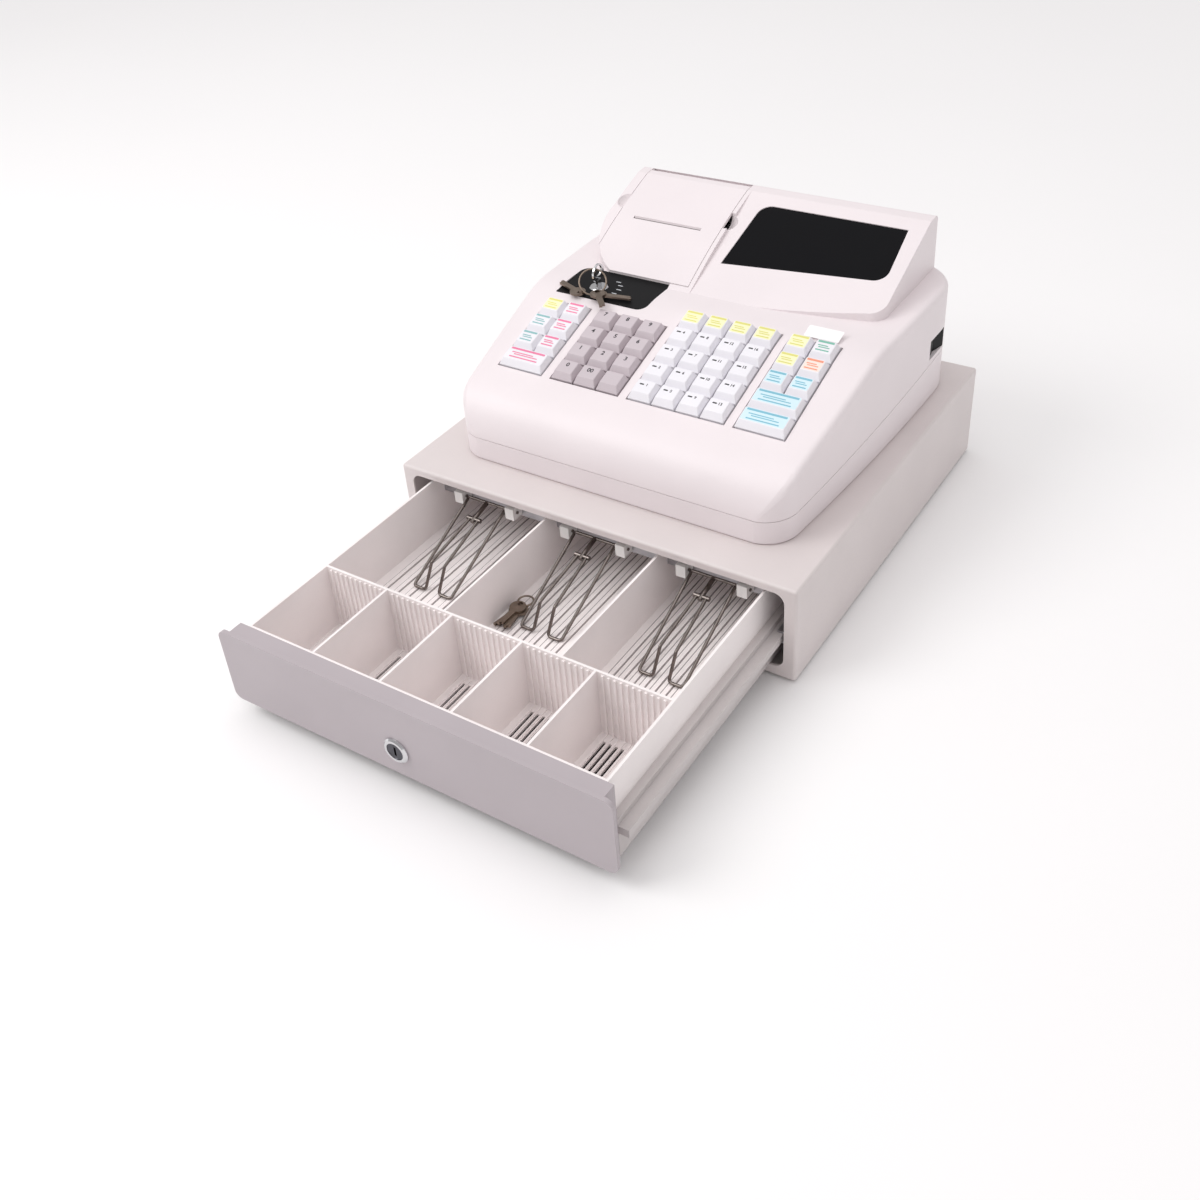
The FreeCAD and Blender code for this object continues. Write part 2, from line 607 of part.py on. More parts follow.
def drawer_lock():
    """Cam lock in the drawer front: fixed body and turning plug with a key slot and cam."""
    body = new_body("lock_body")
    points = [("lock_plug_radius + lock_gap", "-lock_proud"), ("lock_radius - 1.2", "-lock_proud"),
              ("lock_radius", "1 - lock_proud"), ("lock_radius", "0"), ("lock_radius - 2", "0"),
              ("lock_radius - 2", "lock_length"), ("lock_plug_radius + lock_gap", "lock_length")]
    sketch = outline(body, "XY_Plane", points)
    revolve(body, sketch, "V_Axis")
    place(body, "lock_across", FACE, FLOOR + " + lock_height")
    plug = doc.addObject("PartDesign::Body", "Plug")
    points = [("0", "0.4 - lock_proud"), ("lock_plug_radius", "0.4 - lock_proud"),
              ("lock_plug_radius", "lock_length + 0.5"), ("3.5", "lock_length + 0.5"),
              ("3.5", "lock_length + 3.2"), ("0", "lock_length + 3.2")]
    revolve(plug, outline(plug, "XY_Plane", points), "V_Axis")
    slot = rectangle("-0.8", "0.8", "-3.6", "3.6")
    pocket(plug, outline(plug, "XZ_Plane", slot, "0"), "2 * lock_proud + 3", middle=True)
    place(plug, "lock_across", FACE, FLOOR + " + lock_height")
    cam = box("lock_across - 5", FACE + " + lock_length + 0.5", FLOOR + " + lock_height - 5",
              "10", "2", "22")
    keep(fuse(plug, cam), "lock_plug")


def key_blank(length, head, shaft, wall):
    """A flat key lying in XY, its bow at the origin and its blade along +X."""
    bow = Part.makeCylinder(head, wall)
    blade = Part.makeBox(length, shaft, wall, FreeCAD.Vector(0, -shaft / 2, 0))
    tip = Part.makeBox(3, shaft, wall, FreeCAD.Vector(length - 1.5, 0, 0))
    hole = Part.makeCylinder(head * 0.33, 3 * wall, FreeCAD.Vector(-head * 0.5, 0, -wall))
    return bow.fuse(blade).cut(tip).cut(hole)


def spare_keys():
    """Three keys on a ring, lying in the middle bill bin beside the clip."""
    floor = FLOOR_Z + size("bill_floor") + size("floor_rib")
    spot = FreeCAD.Vector(-25, FRONT_Y - 42, floor)
    bunch = Part.makeTorus(5.5, 0.7, FreeCAD.Vector(0, 0, 3.4))
    for turn, lift in ((-100, 0), (-82, 1.6), (-92, 3.2)):
        key = key_blank(21, 6, 4.5, 1.7)
        key.translate(FreeCAD.Vector(9, 0, lift))
        key.rotate(FreeCAD.Vector(), Z_AXIS, turn)
        bunch = bunch.fuse(key)
    feature("spare_keys", bunch.translated(spot))


# Register housing

def arc_between(start, middle, end):
    return Part.Arc(FreeCAD.Vector(*start), FreeCAD.Vector(*middle), FreeCAD.Vector(*end)).toShape()


def line_between(start, end):
    return Part.LineSegment(FreeCAD.Vector(*start), FreeCAD.Vector(*end)).toShape()


def closed_face(edges):
    return Part.Face(Part.Wire(edges))


def deck_height(depth):
    return size("deck_origin_height") + depth * math.tan(TILT)


def deck_profile():
    """Side view of the low housing: upright front, round nose, sloping deck, level rear."""
    base = size("cabinet_height")
    front = size("housing_front")
    rear = size("housing_rear")
    radius = size("nose_radius")
    top = size("rear_deck_height")
    tangent = front + radius * (1 - math.sin(TILT))
    centre = (tangent + radius * math.sin(TILT), deck_height(tangent) - radius * math.cos(TILT))
    half_way = (math.pi + math.pi / 2 + TILT) / 2
    middle = (centre[0] + radius * math.cos(half_way), centre[1] + radius * math.sin(half_way))
    nose = FreeCAD.Vector(0, tangent, deck_height(tangent))
    corner = FreeCAD.Vector(0, size("deck_break"), deck_height(size("deck_break")))
    back = FreeCAD.Vector(0, rear, top)
    first, crown, last = bend_points(nose, corner, back, size("break_blend"))
    start = FreeCAD.Vector(0, front, base)
    upright = FreeCAD.Vector(0, front, centre[1])
    foot = FreeCAD.Vector(0, rear, base)
    return closed_face([line_between(start, upright),
                        arc_between(upright, (0, middle[0], middle[1]), nose),
                        line_between(nose, first), arc_between(first, crown, last),
                        line_between(last, back), line_between(back, foot),
                        line_between(foot, start)])


def surface_height(depth):
    """Height of the housing's top in front of the raised block."""
    bend = size("deck_break")
    if depth < bend:
        return deck_height(depth)
    slope = (size("rear_deck_height") - deck_height(bend)) / (size("housing_rear") - bend)
    return deck_height(bend) + slope * (depth - bend)


def deck_plan():
    """Top view of the low housing: rounded corners, sides spreading to the back."""
    front = size("housing_front")
    rear = size("housing_rear")
    corner = size("housing_corner")
    wide = size("housing_half_front")
    back = size("housing_half_rear")
    curve = size("rear_corner")
    side_start = front + corner * 0.85
    turn = (wide - corner * 0.27, front + corner * 0.24)
    half_run = (rear - curve - side_start) / 2
    middle = (back - (back - wide) / 4, side_start + half_run)
    part_way = curve * (1 - math.sqrt(0.5))
    side_end = rear - curve
    right = [arc_between((wide - corner, front, 0), turn + (0,), (wide, side_start, 0)),
             arc_between((wide, side_start, 0), middle + (0,), (back, side_end, 0)),
             arc_between((back, side_end, 0), (back - part_way, rear - part_way, 0),
                         (back - curve, rear, 0))]
    left = [edge.mirror(FreeCAD.Vector(), X_AXIS) for edge in reversed(right)]
    across_front = line_between((corner - wide, front, 0), (wide - corner, front, 0))
    across_rear = line_between((back - curve, rear, 0), (curve - back, rear, 0))
    return closed_face([across_front] + right + [across_rear] + left)


def hump_profile(bulge):
    """Side view of the raised rear block; bulge lifts the middle of its face."""
    front = (size("hump_front"), size("rear_deck_height") - 2.5)
    ridge = (size("hump_ridge"), size("hump_top") - 1)
    rear = size("hump_rear")
    low = size("cabinet_height") + 30
    middle = ((front[0] + ridge[0]) / 2, (front[1] + ridge[1]) / 2 + bulge)
    back_top = (rear - 8, size("hump_top") - 0.5)
    rear_top = (rear - 2, size("hump_top") - 6)
    corner = (rear - 3.4, size("hump_top") - 1.9)
    p = [(0, y, z) for y, z in (front, middle, ridge, back_top, corner, rear_top, (rear, low),
                                (front[0], low))]
    edges = [arc_between(p[0], p[1], p[2]) if bulge else line_between(p[0], p[2]),
             line_between(p[2], p[3]), arc_between(p[3], p[4], p[5]),
             line_between(p[5], p[6]), line_between(p[6], p[7]), line_between(p[7], p[0])]
    return closed_face(edges)


def bowed_front(across):
    """Depth of the raised block's front edge, which bows forward at the printer's seam."""
    offset = across - size("lid_right")
    return size("hump_front") + offset * offset / (2 * size("hump_bow"))


def rounded_corner(inner, outer, reach):
    """Edge from the bowed front round to a side wall that starts that much deeper."""
    start = bowed_front(inner)
    bend = (outer + (inner - outer) * 0.3, start + reach * 0.3, 0)
    return arc_between((inner, start, 0), bend, (outer, start + reach, 0))


def printer_plan():
    """Top view of the raised block left of the seam, with its large rounded corner."""
    left = -size("hump_half")
    right = size("lid_right") + 4
    rear = size("hump_rear")
    inner = left + size("hump_left_reach")
    reach = size("hump_left_round")
    middle = (inner + right) / 2
    front = arc_between((inner, bowed_front(inner), 0), (middle, bowed_front(middle), 0),
                        (right, bowed_front(right), 0))
    side_start = bowed_front(inner) + reach
    return closed_face([front, line_between((right, bowed_front(right), 0), (right, rear, 0)),
                        line_between((right, rear, 0), (left, rear, 0)),
                        line_between((left, rear, 0), (left, side_start, 0)),
                        rounded_corner(inner, left, reach)])


def display_plan():
    """Top view of the raised block right of the seam."""
    left = size("lid_right")
    right = size("hump_half")
    rear = size("hump_rear")
    reach = size("hump_right_round")
    inner = right - reach
    middle = (left + inner) / 2
    front = arc_between((left, bowed_front(left), 0), (middle, bowed_front(middle), 0),
                        (inner, bowed_front(inner), 0))
    side_start = bowed_front(inner) + reach
    return closed_face([front, rounded_corner(inner, right, reach),
                        line_between((right, side_start, 0), (right, rear, 0)),
                        line_between((right, rear, 0), (left, rear, 0)),
                        line_between((left, rear, 0), (left, bowed_front(left), 0))])


def crossed(profile, plan, inset):
    """The solid whose side view is profile and whose top view is plan, drawn in by inset."""
    if inset:
        profile = profile.makeOffset2D(-inset)
        plan = plan.makeOffset2D(-inset)
    wide = profile.extrude(FreeCAD.Vector(400, 0, 0))
    wide.translate(FreeCAD.Vector(-200, 0, 0))
    tall = plan.extrude(FreeCAD.Vector(0, 0, 300))
    return wide.common(tall)


def low_housing(inset):
    solid = crossed(deck_profile(), deck_plan(), inset)
    if inset:
        return solid
    side_edges = []
    for edge in solid.Edges:
        centre = edge.CenterOfMass
        if (abs(centre.x) > 125 or centre.y > 315) and centre.y > 70 and centre.z > 118:
            side_edges.append(edge)
    return solid.makeFillet(size("edge_round"), side_edges)


def printer_hump(inset):
    return crossed(hump_profile(size("printer_bulge")), printer_plan(), inset)


def display_hump(inset):
    return crossed(hump_profile(0), display_plan(), inset)


def on_deck(across, along, lift):
    """A place on the sloping deck: along it from the keys' front edge, and off its surface."""
    y = FRONT_Y + size("key_depth") + along * math.cos(TILT) - lift * math.sin(TILT)
    z = (FLOOR_Z + deck_height(size("key_depth")) + along * math.sin(TILT) + lift * math.cos(TILT))
    return FreeCAD.Vector(across, y, z)


def deck_box(left, right, low, high, under, over):
    """A box lying in the sloping deck."""
    solid = Part.makeBox(right - left, high - low, over - under)
    solid.rotate(FreeCAD.Vector(), X_AXIS, size("deck_tilt"))
    solid.translate(on_deck(left, low, under))
    return solid


def key_field(start, columns, rows):
    """Left, right, front and rear edges of one group of keys on the deck."""
    right = start + columns * size("key_pitch_across") - size("key_space")
    return start, right, 0, rows * size("key_pitch_up") - size("key_space")


KEY_GROUPS = (("left_keys", 2, 4), ("number_keys", 3, 4), ("department_keys", 4, 5),
              ("right_keys", 2, 5))


def seam_trim(lift):
    """Everything below the seam between the two housing shells."""
    block = Part.makeBox(600, 800, 200, FreeCAD.Vector(-300, -400, -200))
    block.rotate(FreeCAD.Vector(), X_AXIS, size("seam_slope"))
    block.translate(FreeCAD.Vector(0, size("housing_front"), size("seam_front") + lift))
    return block


# Corners of the display window on the raised block's face, as (across, depth).
WINDOW = ((-12, 225), (118, 237), (115, 285), (-6, 285))


def face_height(depth):
    """Height of the display's flat face at one depth."""
    low = size("rear_deck_height") - 2.5
    return low + size("face_rise") * (depth - size("hump_front"))


def window_prism(under, over):
    corners = [FreeCAD.Vector(x, y, face_height(y)) for x, y in WINDOW]
    slope = math.atan2(face_height(1) - face_height(0), 1)
    normal = FreeCAD.Vector(0, -math.sin(slope), math.cos(slope))
    lowered = [corner + normal * under for corner in corners]
    face = Part.Face(Part.makePolygon(lowered + lowered[:1]))
    prism = face.extrude(normal * (over - under))
    rounded = [edge for edge in prism.Edges
               if abs(edge.Length - (over - under)) < 0.01
               and any((vertex.Point - lowered[pick]).Length < 0.01
                       for vertex in edge.Vertexes for pick in (1, 3))]
    return prism.makeFillet(size("window_round"), rounded)


def panel_block(under, over):
    """The mode panel's plate, laid between the deck's heights at its two ends."""
    front = size("panel_front")
    length = size("panel_rear") - front
    slope = (surface_height(size("panel_rear")) - surface_height(front)) / length
    solid = Part.makeBox(size("panel_right") - size("panel_left"), length, over - under)
    rounded = [edge for edge in solid.Edges if runs_along(edge, Z_AXIS)
               and ((edge.CenterOfMass.x < 1) == (edge.CenterOfMass.y > 1))]
    solid = solid.makeFillet(size("panel_round"), rounded)
    solid.translate(FreeCAD.Vector(0, 0, under))
    solid.rotate(FreeCAD.Vector(), X_AXIS, math.degrees(math.atan(slope)))
    solid.translate(FreeCAD.Vector(size("panel_left"), front, surface_height(front)))
    return solid


def lid_zone(gap):
    """The room that the printer cover takes, grown by a gap on its loose sides."""
    left = size("lid_left") - gap
    right = size("lid_right") + gap
    block = hollow_box((left, size("hump_front") - 10, size("lid_low") - gap),
                       (right, size("lid_axis_depth"), 260))
    swing = size("lid_swing") if gap else size("lid_barrel")
    barrel = Part.makeCylinder(swing, right - left, FreeCAD.Vector(
        left, size("lid_axis_depth"), size("lid_axis_height")), X_AXIS)
    return block.fuse(barrel)


def bulkhead(start):
    """Upright wall of the raised block beside the cover, from start towards the right."""
    zone = hollow_box((start, size("hump_front"), 140),
                      (start + size("bulkhead_wall"), size("hump_rear"), 230))
    return printer_hump(0).fuse(display_hump(0)).common(zone)


def scoop(radius, across, bulge):
    """Ball over the seam beside the cover, for a thumb's hollow or the cup behind it."""
    depth = size("scoop_depth")
    return Part.makeSphere(radius, FreeCAD.Vector(
        across, depth, face_height(depth) + bulge + size("scoop_lift")))


def rocker_lugs(gap):
    """The two ears inside the side wall that hold the rocker's pin, grown by a gap."""
    ears = []
    for side in (-1, 1):
        near = size("rocker_height") + side * size("rocker_wide") / 2
        far = near + side * (3 + gap)
        outer = size("housing_half_rear") - (size("shell_wall") if gap else 1)
        ears.append(hollow_box((size("rocker_pivot") - 3 - gap, size("rocker_depth") - 3 - gap,
                                min(near, far)),
                               (outer, size("rocker_depth") + 3 + gap, max(near, far))))
    return ears


def housing():
    """Lower and upper housing shells and the printer cover, cut from one outer form."""
    wall = size("shell_wall")
    low_outer = low_housing(0)
    low_inner = low_housing(wall)
    printer_outer = printer_hump(0)
    display_outer = display_hump(0)
    inner = low_inner.fuse([printer_hump(wall), display_hump(wall)])
    outer = low_outer.fuse([printer_outer, display_outer])
    below = seam_trim(0)
    lid_gap = size("lid_gap")
    seams = (size("lid_left") - lid_gap, size("lid_right") + lid_gap)
    bulkheads = [bulkhead(seams[0] - size("bulkhead_wall")), bulkhead(seams[1])]
    thumb = size("scoop_radius")
    cup = thumb + size("scoop_wall")
    bulge = size("printer_bulge")
    hollows = [scoop(thumb, seams[0], bulge), scoop(thumb, seams[1], 0)]
    cups = [scoop(cup, seams[0], bulge).common(printer_outer).common(
                hollow_box((-200, 0, 0), (seams[0], 400, 300))),
            scoop(cup, seams[1], 0).common(display_outer).common(
                hollow_box((seams[1], 0, 0), (200, 400, 300)))]
    tongue = low_inner.cut(low_housing(wall + size("tongue_wall")))
    tongue = tongue.common(seam_trim(size("tongue_height"))).cut(seam_trim(-2))
    floor = size("cabinet_height") + wall
    posts = [Part.makeCylinder(4, size("board_post"), FreeCAD.Vector(x, y, floor))
             for x in (-90, 90) for y in (80, 200)]
    screws = [(side * size("screw_across"), size(depth)) for side in (-1, 1)
              for depth in ("screw_front", "screw_rear")]
    bosses = [Part.makeCylinder(size("screw_boss"), 4, FreeCAD.Vector(x, y, floor)) for x, y in screws]
    pilots = [Part.makeCylinder(size("screw_radius"), 5, FreeCAD.Vector(x, y, floor - wall))
              for x, y in screws]
    base = outer.cut(inner).common(below).fuse([tongue] + posts + bosses).cut(pilots)
    grommet = Part.makeCylinder(size("inlet_radius") + 0.01, 30, FreeCAD.Vector(
        size("inlet_across"), size("housing_rear") - 15, size("inlet_height")), Y_AXIS)
    recess = hollow_box((-300, 0, size("cabinet_height") - 1),
                        (300, 400, size("cabinet_height") + size("recess_height")))
    standing = deck_plan().makeOffset2D(-size("foot_recess")).extrude(FreeCAD.Vector(0, 0, 200))
    rocker_low = size("rocker_height") - size("rocker_wide") / 2
    rocker_front = size("rocker_depth") - size("rocker_long") / 2
    rocker_rear = size("rocker_depth") + size("rocker_long") / 2
    below_rocker = hollow_box((130, rocker_front, rocker_low - size("seam_gap")),
                              (160, rocker_rear, size("rocker_height")))
    base = base.cut([grommet, recess.cut(standing), below_rocker] + rocker_lugs(size("seam_gap")))
    shell = outer.cut(inner).cut(seam_trim(size("seam_gap"))).fuse(bulkheads + cups)
    holes = []
    gap = size("key_side_gap") + size("key_space") / 2
    home = FreeCAD.Vector(0, -FRONT_Y, -FLOOR_Z)
    panel_under = size("panel_rise") - size("panel_wall")
    for name, columns, rows in KEY_GROUPS:
        left, right, low, high = key_field(size(name), columns, rows)
        holes.append(deck_box(left - gap, right + gap, low - gap, high + gap, -6, 6).translated(home))
    mode_hole = Part.makeCylinder(size("mode_radius") + size("mode_gap"), 30, FreeCAD.Vector(
        size("mode_across"), size("mode_depth"), 140))
    rocker = hollow_box((130, rocker_front, rocker_low),
                        (160, rocker_rear, rocker_low + size("rocker_wide")))
    pivot = Part.makeCylinder(size("rocker_pin_radius") + size("pin_gap"), size("rocker_wide") + 6,
                              FreeCAD.Vector(size("rocker_pivot"), size("rocker_depth"),
                                             size("rocker_height") - size("rocker_wide") / 2 - 3))
    shell = shell.fuse(rocker_lugs(0))
    slot_half = size("slot_length") / 2
    slot = hollow_box((size("slot_centre") - slot_half, size("slot_depth") - size("slot_width") / 2,
                       170), (size("slot_centre") + slot_half,
                              size("slot_depth") + size("slot_width") / 2, 215))
    customer = customer_block()
    holes += [window_prism(-window_depth(), 5), panel_block(panel_under, 5),
              mode_hole, rocker, pivot, customer]
    shell = shell.cut(holes).cut(lid_zone(lid_gap)).cut(hollows)
    lid = printer_outer.cut(printer_hump(wall)).common(lid_zone(0))
    left = size("lid_left")
    right = size("lid_right")
    hinge = FreeCAD.Vector(left, size("lid_axis_depth"), size("lid_axis_height"))
    barrel = Part.makeCylinder(size("lid_barrel"), right - left - 4, hinge + X_AXIS * 2, X_AXIS)
    bore = Part.makeCylinder(size("lid_pin_radius") + size("pin_gap"), right - left, hinge, X_AXIS)
    lid = lid.fuse(barrel).cut([bore, slot])
    reach = size("bulkhead_wall")
    pin = Part.makeCylinder(size("lid_pin_radius"), right - left + 2 * reach, hinge - X_AXIS * reach,
                            X_AXIS)
    shell = shell.cut(pin)
    feature("housing_base", base, True)
    feature("housing_top", shell, True)
    feature("printer_cover", lid, True)
    feature("cover_pin", pin, True)


def window_depth():
    return size("window_wall") + size("window_recess")


def customer_block():
    """Room of the rear display window for the customer, high on the back of the raised block."""
    rear = size("hump_rear")
    return hollow_box((size("customer_left"), rear - size("customer_wall"), size("customer_low")),
                      (size("customer_right"), rear + 5, size("customer_high")))


def windows_and_panel():
    """Dark display windows and the black plate behind the mode switch."""
    window = window_prism(-window_depth(), -size("window_recess"))
    feature("display_window", window, True)
    rear = display_hump(0).common(customer_block())
    feature("customer_window", rear, True)
    hole = Part.makeCylinder(size("mode_radius") + size("mode_gap"), 30, FreeCAD.Vector(
        size("mode_across"), size("mode_depth"), 140))
    rise = size("panel_rise")
    plate = panel_block(rise - size("panel_wall"), rise).cut(hole)
    feature("mode_panel", plate, True)


# Keys

def keycap(start, column, row, columns=1):
    """One key: tapered cap with a lower front, a skirt in its well and a square stem."""
    across = "%s + %d * key_pitch_across" % (start, column)
    width = "%d * key_pitch_across - key_space" % columns
    depth = "key_pitch_up - key_space"
    along = "%d * key_pitch_up" % row
    turned = "deck_tilt + 90"
    cap = make("Part::Wedge", Xmax=width, X2min="key_lean_side", X2max=width + " - key_lean_side",
               Ymax="key_top - 0.5", Zmin="0", Z2min="key_lean_rear - (" + depth + ")",
               Z2max="-key_lean_front")
    cap.setExpression("Zmin", linked("-(" + depth + ")"))
    cap.setExpression("Zmax", "0")
    deck_place(cap, across, along, "0.5", turned)
    skirt = make("Part::Box", Length=width, Width=depth, Height="key_skirt + 0.5")
    deck_place(skirt, across, along, "-key_skirt", "deck_tilt")
    stem = make("Part::Box", Length="key_stem", Width="key_stem", Height="key_stem_drop - key_skirt")
    deck_place(stem, across + " + (" + width + " - key_stem) / 2",
               along + " + (" + depth + " - key_stem) / 2", "-key_stem_drop", "deck_tilt")
    doc.recompute()
    rounded = doc.addObject("Part::Fillet", "Rounded")
    rounded.Base = cap
    flat = cap.Shape.Faces
    top = max(flat, key=lambda face: face.CenterOfMass.dot(deck_normal()))
    low = top.CenterOfMass.dot(deck_normal()) - 0.5
    rounded.Edges = [(index + 1, 0.9, 0.9) for index, edge in enumerate(cap.Shape.Edges)
                     if max(v.Point.dot(deck_normal()) for v in edge.Vertexes) > low]
    return fuse(rounded, skirt, stem)


def deck_normal():
    return FreeCAD.Vector(0, -math.sin(TILT), math.cos(TILT))


def deck_place(target, across, along, lift, turned):
    """Set an object on the sloping deck, by expressions."""
    y = (FRONT + " + key_depth + (" + along + ") * cos(deck_tilt) - (" + lift + ") * sin(deck_tilt)")
    z = (FLOOR + " + deck_origin_height + key_depth * tan(deck_tilt) + (" + along
         + ") * sin(deck_tilt) + (" + lift + ") * cos(deck_tilt)")
    return place(target, across, y, z, X_AXIS, turned)


def keys():
    """Every key of the four groups; the department keys are kept a row to a node."""
    digits = (("0", "00", "point"), ("1", "2", "3"), ("4", "5", "6"), ("7", "8", "9"))
    for row, names in enumerate(digits):
        for column, name in enumerate(names):
            keep(keycap("number_keys", column, row), "key_" + name)
    for row in range(5):
        caps = [keycap("department_keys", column, row) for column in range(4)]
        keep(group(*caps), "department_keys_row_%d" % (row + 1))
    keep(keycap("left_keys", 0, 0, 2), "left_wide_key")
    for row in range(1, 4):
        caps = [keycap("left_keys", column, row) for column in range(2)]
        keep(group(*caps), "left_keys_row_%d" % row)
    keep(keycap("right_keys", 0, 0, 2), "right_wide_key_front")
    keep(keycap("right_keys", 0, 1, 2), "right_wide_key_rear")
    for row in range(2, 5):
        caps = [keycap("right_keys", column, row) for column in range(2)]
        keep(group(*caps), "right_keys_row_%d" % (row - 1))


def keyboard_plate():
    """Switch plate under the deck, hung on posts, with a square hole for every stem."""
    under = -size("key_plate_drop") - size("key_plate_wall")
    over = -size("key_plate_drop")
    rear = 5 * size("key_pitch_up") + 1
    plate = deck_box(-126, 124, -4, rear, under, over)
    holes = []
    reach = size("key_stem") / 2 + 0.5
    for name, columns, rows in KEY_GROUPS:
        for row in range(rows):
            for column in range(columns):
                across = size(name) + (column + 0.5) * size("key_pitch_across") - size("key_space") / 2
                along = (row + 0.5) * size("key_pitch_up") - size("key_space") / 2
                wide = (name, row) in (("left_keys", 0), ("right_keys", 0), ("right_keys", 1))
                if wide and column:
                    continue
                if wide:
                    across += size("key_pitch_across") / 2
                holes.append(deck_box(across - reach, across + reach, along - reach, along + reach,
                                      under - 1, over + 1))
    barrel = FreeCAD.Vector(size("mode_across"), FRONT_Y + size("mode_depth"), 0)
    holes.append(Part.makeCylinder(size("mode_radius") + 1, 300, barrel))
    posts = []
    between = (size("left_keys") - 2.6, size("number_keys") - 4.7, size("department_keys") - 4.7,
               size("right_keys") - 4.2)
    for across in between:
        for along in (10, 60):
            posts.append(deck_box(across - 1.5, across + 1.5, along, along + 3, over,
                                  -size("shell_wall")))
    feature("keyboard_plate", plate.cut(holes).fuse(posts))


# Mode switch, power switch, printer and electronics

def mode_switch():
    """Round lock barrel in the mode panel with its key in it, turned as one."""
    across = "mode_across"
    depth = FRONT + " + mode_depth"
    level = FLOOR + " + deck_origin_height + mode_depth * tan(deck_tilt) - mode_drop"
    barrel = doc.addObject("PartDesign::Body", "Barrel")
    points = [("0", "-16"), ("mode_radius - 1.5", "-16"), ("mode_radius - 1.5", "-1.5"),
              ("mode_radius", "-1.5"), ("mode_radius", "0.6"), ("mode_radius - 0.8", "1.4"), ("0", "1.4")]
    revolve(barrel, outline(barrel, "XZ_Plane", points), "V_Axis")
    place(barrel, across, depth, level)
    shank = box(across + " - 1", depth + " - 2.6", level + " + 1", "2", "5.2", "6")
    bow = rod(across + " - 0.8", depth, level + " + 12.5", "7.4", "1.6", Y_AXIS)
    hole = rod(across + " - 5", depth, level + " + 14.6", "4.3", "10", Y_AXIS)
    keep(cut(fuse(barrel, shank, bow), hole), "mode_switch")


def mode_keys():
    """Ring through the mode key's bow, leaning on the panel with three more keys on it."""
    level = FLOOR_Z + deck_height(size("mode_depth")) - size("mode_drop")
    top = FreeCAD.Vector(size("mode_across"), FRONT_Y + size("mode_depth"), level + 15)
    low = FreeCAD.Vector(size("mode_across"), top.y - 16, level + 1.4)
    facing = FreeCAD.Vector(0.42, -0.62, 0.65)
    hanging = (low - top).normalize()
    facing = (facing - hanging * facing.dot(hanging)).normalize()
    radius = (low - top).Length / 2
    ring = Part.makeTorus(radius, 0.7, (top + low) / 2, facing)
    side = facing.cross(hanging).normalize()
    bunch = ring
    for reach, lift, turn, length in ((6.6, 1.0, 10, 27), (-6.6, 1.0, 157, 24), (8.3, 2.6, -48, 22)):
        key = key_blank(length, 6.2, 4.6, 1.6)
        key.translate(FreeCAD.Vector(3.1, 0, 0))
        key.rotate(FreeCAD.Vector(), Z_AXIS, turn)
        spot = low + side * reach
        key.translate(FreeCAD.Vector(spot.x, spot.y, level + lift))
        bunch = bunch.fuse(key)
    feature("mode_keys", bunch)


def power_rocker():
    """Rocker of the power switch in the right side wall, on a pin between two lugs."""
    depth = FRONT + " + rocker_depth"
    height = FLOOR + " + rocker_height"
    body = doc.addObject("PartDesign::Body", "Rocker")
    half = "rocker_long / 2 - 1.2"
    points = [("-(" + half + ")", "-4"), (half, "-4"), (half, "1.2"), ("0", "-0.6"),
              ("-(" + half + ")", "2.6")]
    pad(body, outline(body, "XY_Plane", points), "rocker_wide - 0.6", middle=True)
    place(body, "housing_half_rear - 2.8", depth, height, Z_AXIS, "-90")
    pin = rod("rocker_pivot", depth, height + " - rocker_wide / 2 - 2", "rocker_pin_radius",
              "rocker_wide + 4")
    keep(fuse(body, pin), "power_rocker")


